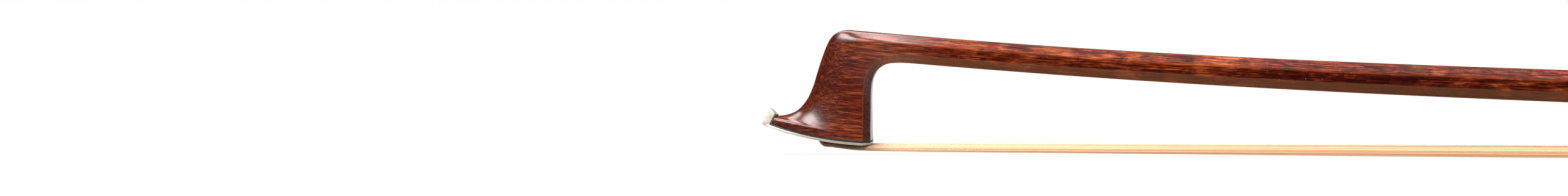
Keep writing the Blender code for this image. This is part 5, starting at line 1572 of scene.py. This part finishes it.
mark_edges(grip, 60.0, 160.0)
put(grip, HANDLE)

leather = Finish("worn_goatskin", Specular_IOR_Level=0.3, Coat_Weight=0.04, Coat_Roughness=0.35, IOR=1.48)
place = leather.place()
scales = {"feature": "DISTANCE_TO_EDGE"}
pebble = leather.node("ShaderNodeTexVoronoi", scales, {"Vector": place, "Scale": 2300.0})
fine_pebble = leather.node("ShaderNodeTexVoronoi", scales, {"Vector": place, "Scale": 5600.0})
stains = leather.cloud(place, 260.0, 4.0, 0.6, 0.4)
hollows = leather.cloud(place, 900.0, 3.0)
worn = leather.kept("worn")
raised = pebble.above(0.0, 0.16)
colour = leather.ramp(
    stains * 0.8 + hollows * 0.25,
    (0.3, (0.012, 0.007, 0.005)),
    (0.55, (0.028, 0.016, 0.010)),
    (0.8, (0.062, 0.034, 0.020)),
)
colour = leather.over(
    colour,
    ((1 - raised) * 0.7, (0.006, 0.0035, 0.0025)),
    (worn * 0.3, (0.13, 0.075, 0.045)),
)
leather.surface(
    colour,
    0.62 - raised * 0.16 + stains * 0.12,
    (raised * 0.8 + fine_pebble * 0.8, 0.55, 0.00012),
)
fit(grip, leather, "stick", "thumb_grip")

# Lapping. A springy strip of imitation whalebone is wound tightly round the stick ahead of the leather in
# twenty turns, and a fine pale strand is wound with it, in the groove between them.
LAPPING_TURNS = 20
LAPPING_PITCH = 3.3 * MM
LAPPING_WIDTH = 2.7 * MM
LAPPING_DEPTH = 0.45 * MM
LAPPING_ROUND = 28.6 * MM  # length of the strip that a turn takes
STEPS_A_TURN = 48
STRAND_RADIUS = 0.19 * MM
# Across the strip from edge to edge, height of its crown, as shares
CROWN = ((-0.5, 0.0), (-0.5, 0.35), (-0.46, 0.7), (-0.36, 0.92), (-0.16, 1.0))
CROWN += tuple((-across, height) for across, height in reversed(CROWN))


def wound(name, start, turns, section):
    """A bar wound along the handle, from (along, height) pairs across it. It keeps its lay for its finish."""
    rings, lay = [], []
    steps = round(turns * STEPS_A_TURN)
    run = 0.0
    for k in range(steps + 1):
        turn = k / STEPS_A_TURN
        ring = []
        for along, height in section:
            p = sleeve_point(turn, SEAT + height, 0.1)
            ring.append((-(start + turn * LAPPING_PITCH) + along, p.x, p.y))
            lay.append((run, along, height))
        rings.append(ring)
        run += LAPPING_ROUND / STEPS_A_TURN
    piece = loft(name, rings)
    keep(piece, "lay", lay)
    return piece


first = GRIP_FRONT + SEAT + LAPPING_WIDTH / 2
section = [(across * LAPPING_WIDTH, height * LAPPING_DEPTH) for across, height in CROWN]
strip = put(smooth(wound("lapping_strip", first, LAPPING_TURNS, section), 60), HANDLE)
whalebone = Finish("imitation_whalebone", Coat_Weight=0.25, Coat_Roughness=0.2, IOR=1.5)
lay = whalebone.kept("lay", 1)
fibre = whalebone.cloud(lay, (60, 6500, 1), 3.0, 0.6)
clouds = whalebone.cloud(lay, (35, 500, 1))
rub = whalebone.cloud(whalebone.place(), 420.0, 3.0)
colour = whalebone.ramp(
    fibre * 0.55 + clouds * 0.5,
    (0.3, (0.012, 0.008, 0.006)),
    (0.55, (0.034, 0.022, 0.015)),
    (0.8, (0.090, 0.056, 0.034)),
)
whalebone.surface(colour, 0.24 + fibre * 0.16 + rub * 0.14, (fibre, 0.3, 0.00004))
fit(strip, whalebone, "stick", "lapping")

section = [(along, STRAND_RADIUS + height) for along, height in circle(STRAND_RADIUS, 8)]
strand = wound("lapping_strand", first + LAPPING_PITCH / 2, LAPPING_TURNS - 1, section)
put(smooth(strand, 80), HANDLE)
straw = Finish("pale_strand", Coat_Weight=0.2)
lay = straw.kept("lay", 1)
twist = straw.cloud(lay, (900, 5200, 5200), 2.0)
soil = straw.cloud(straw.place(), 340.0, 3.0)
straw.surface(
    straw.blend(twist * 0.6 + soil * 0.5, (0.33, 0.22, 0.10), (0.78, 0.64, 0.40)),
    0.32 + twist * 0.25,
    (twist, 0.4, 0.00005),
)
fit(strand, straw, "stick", "lapping")
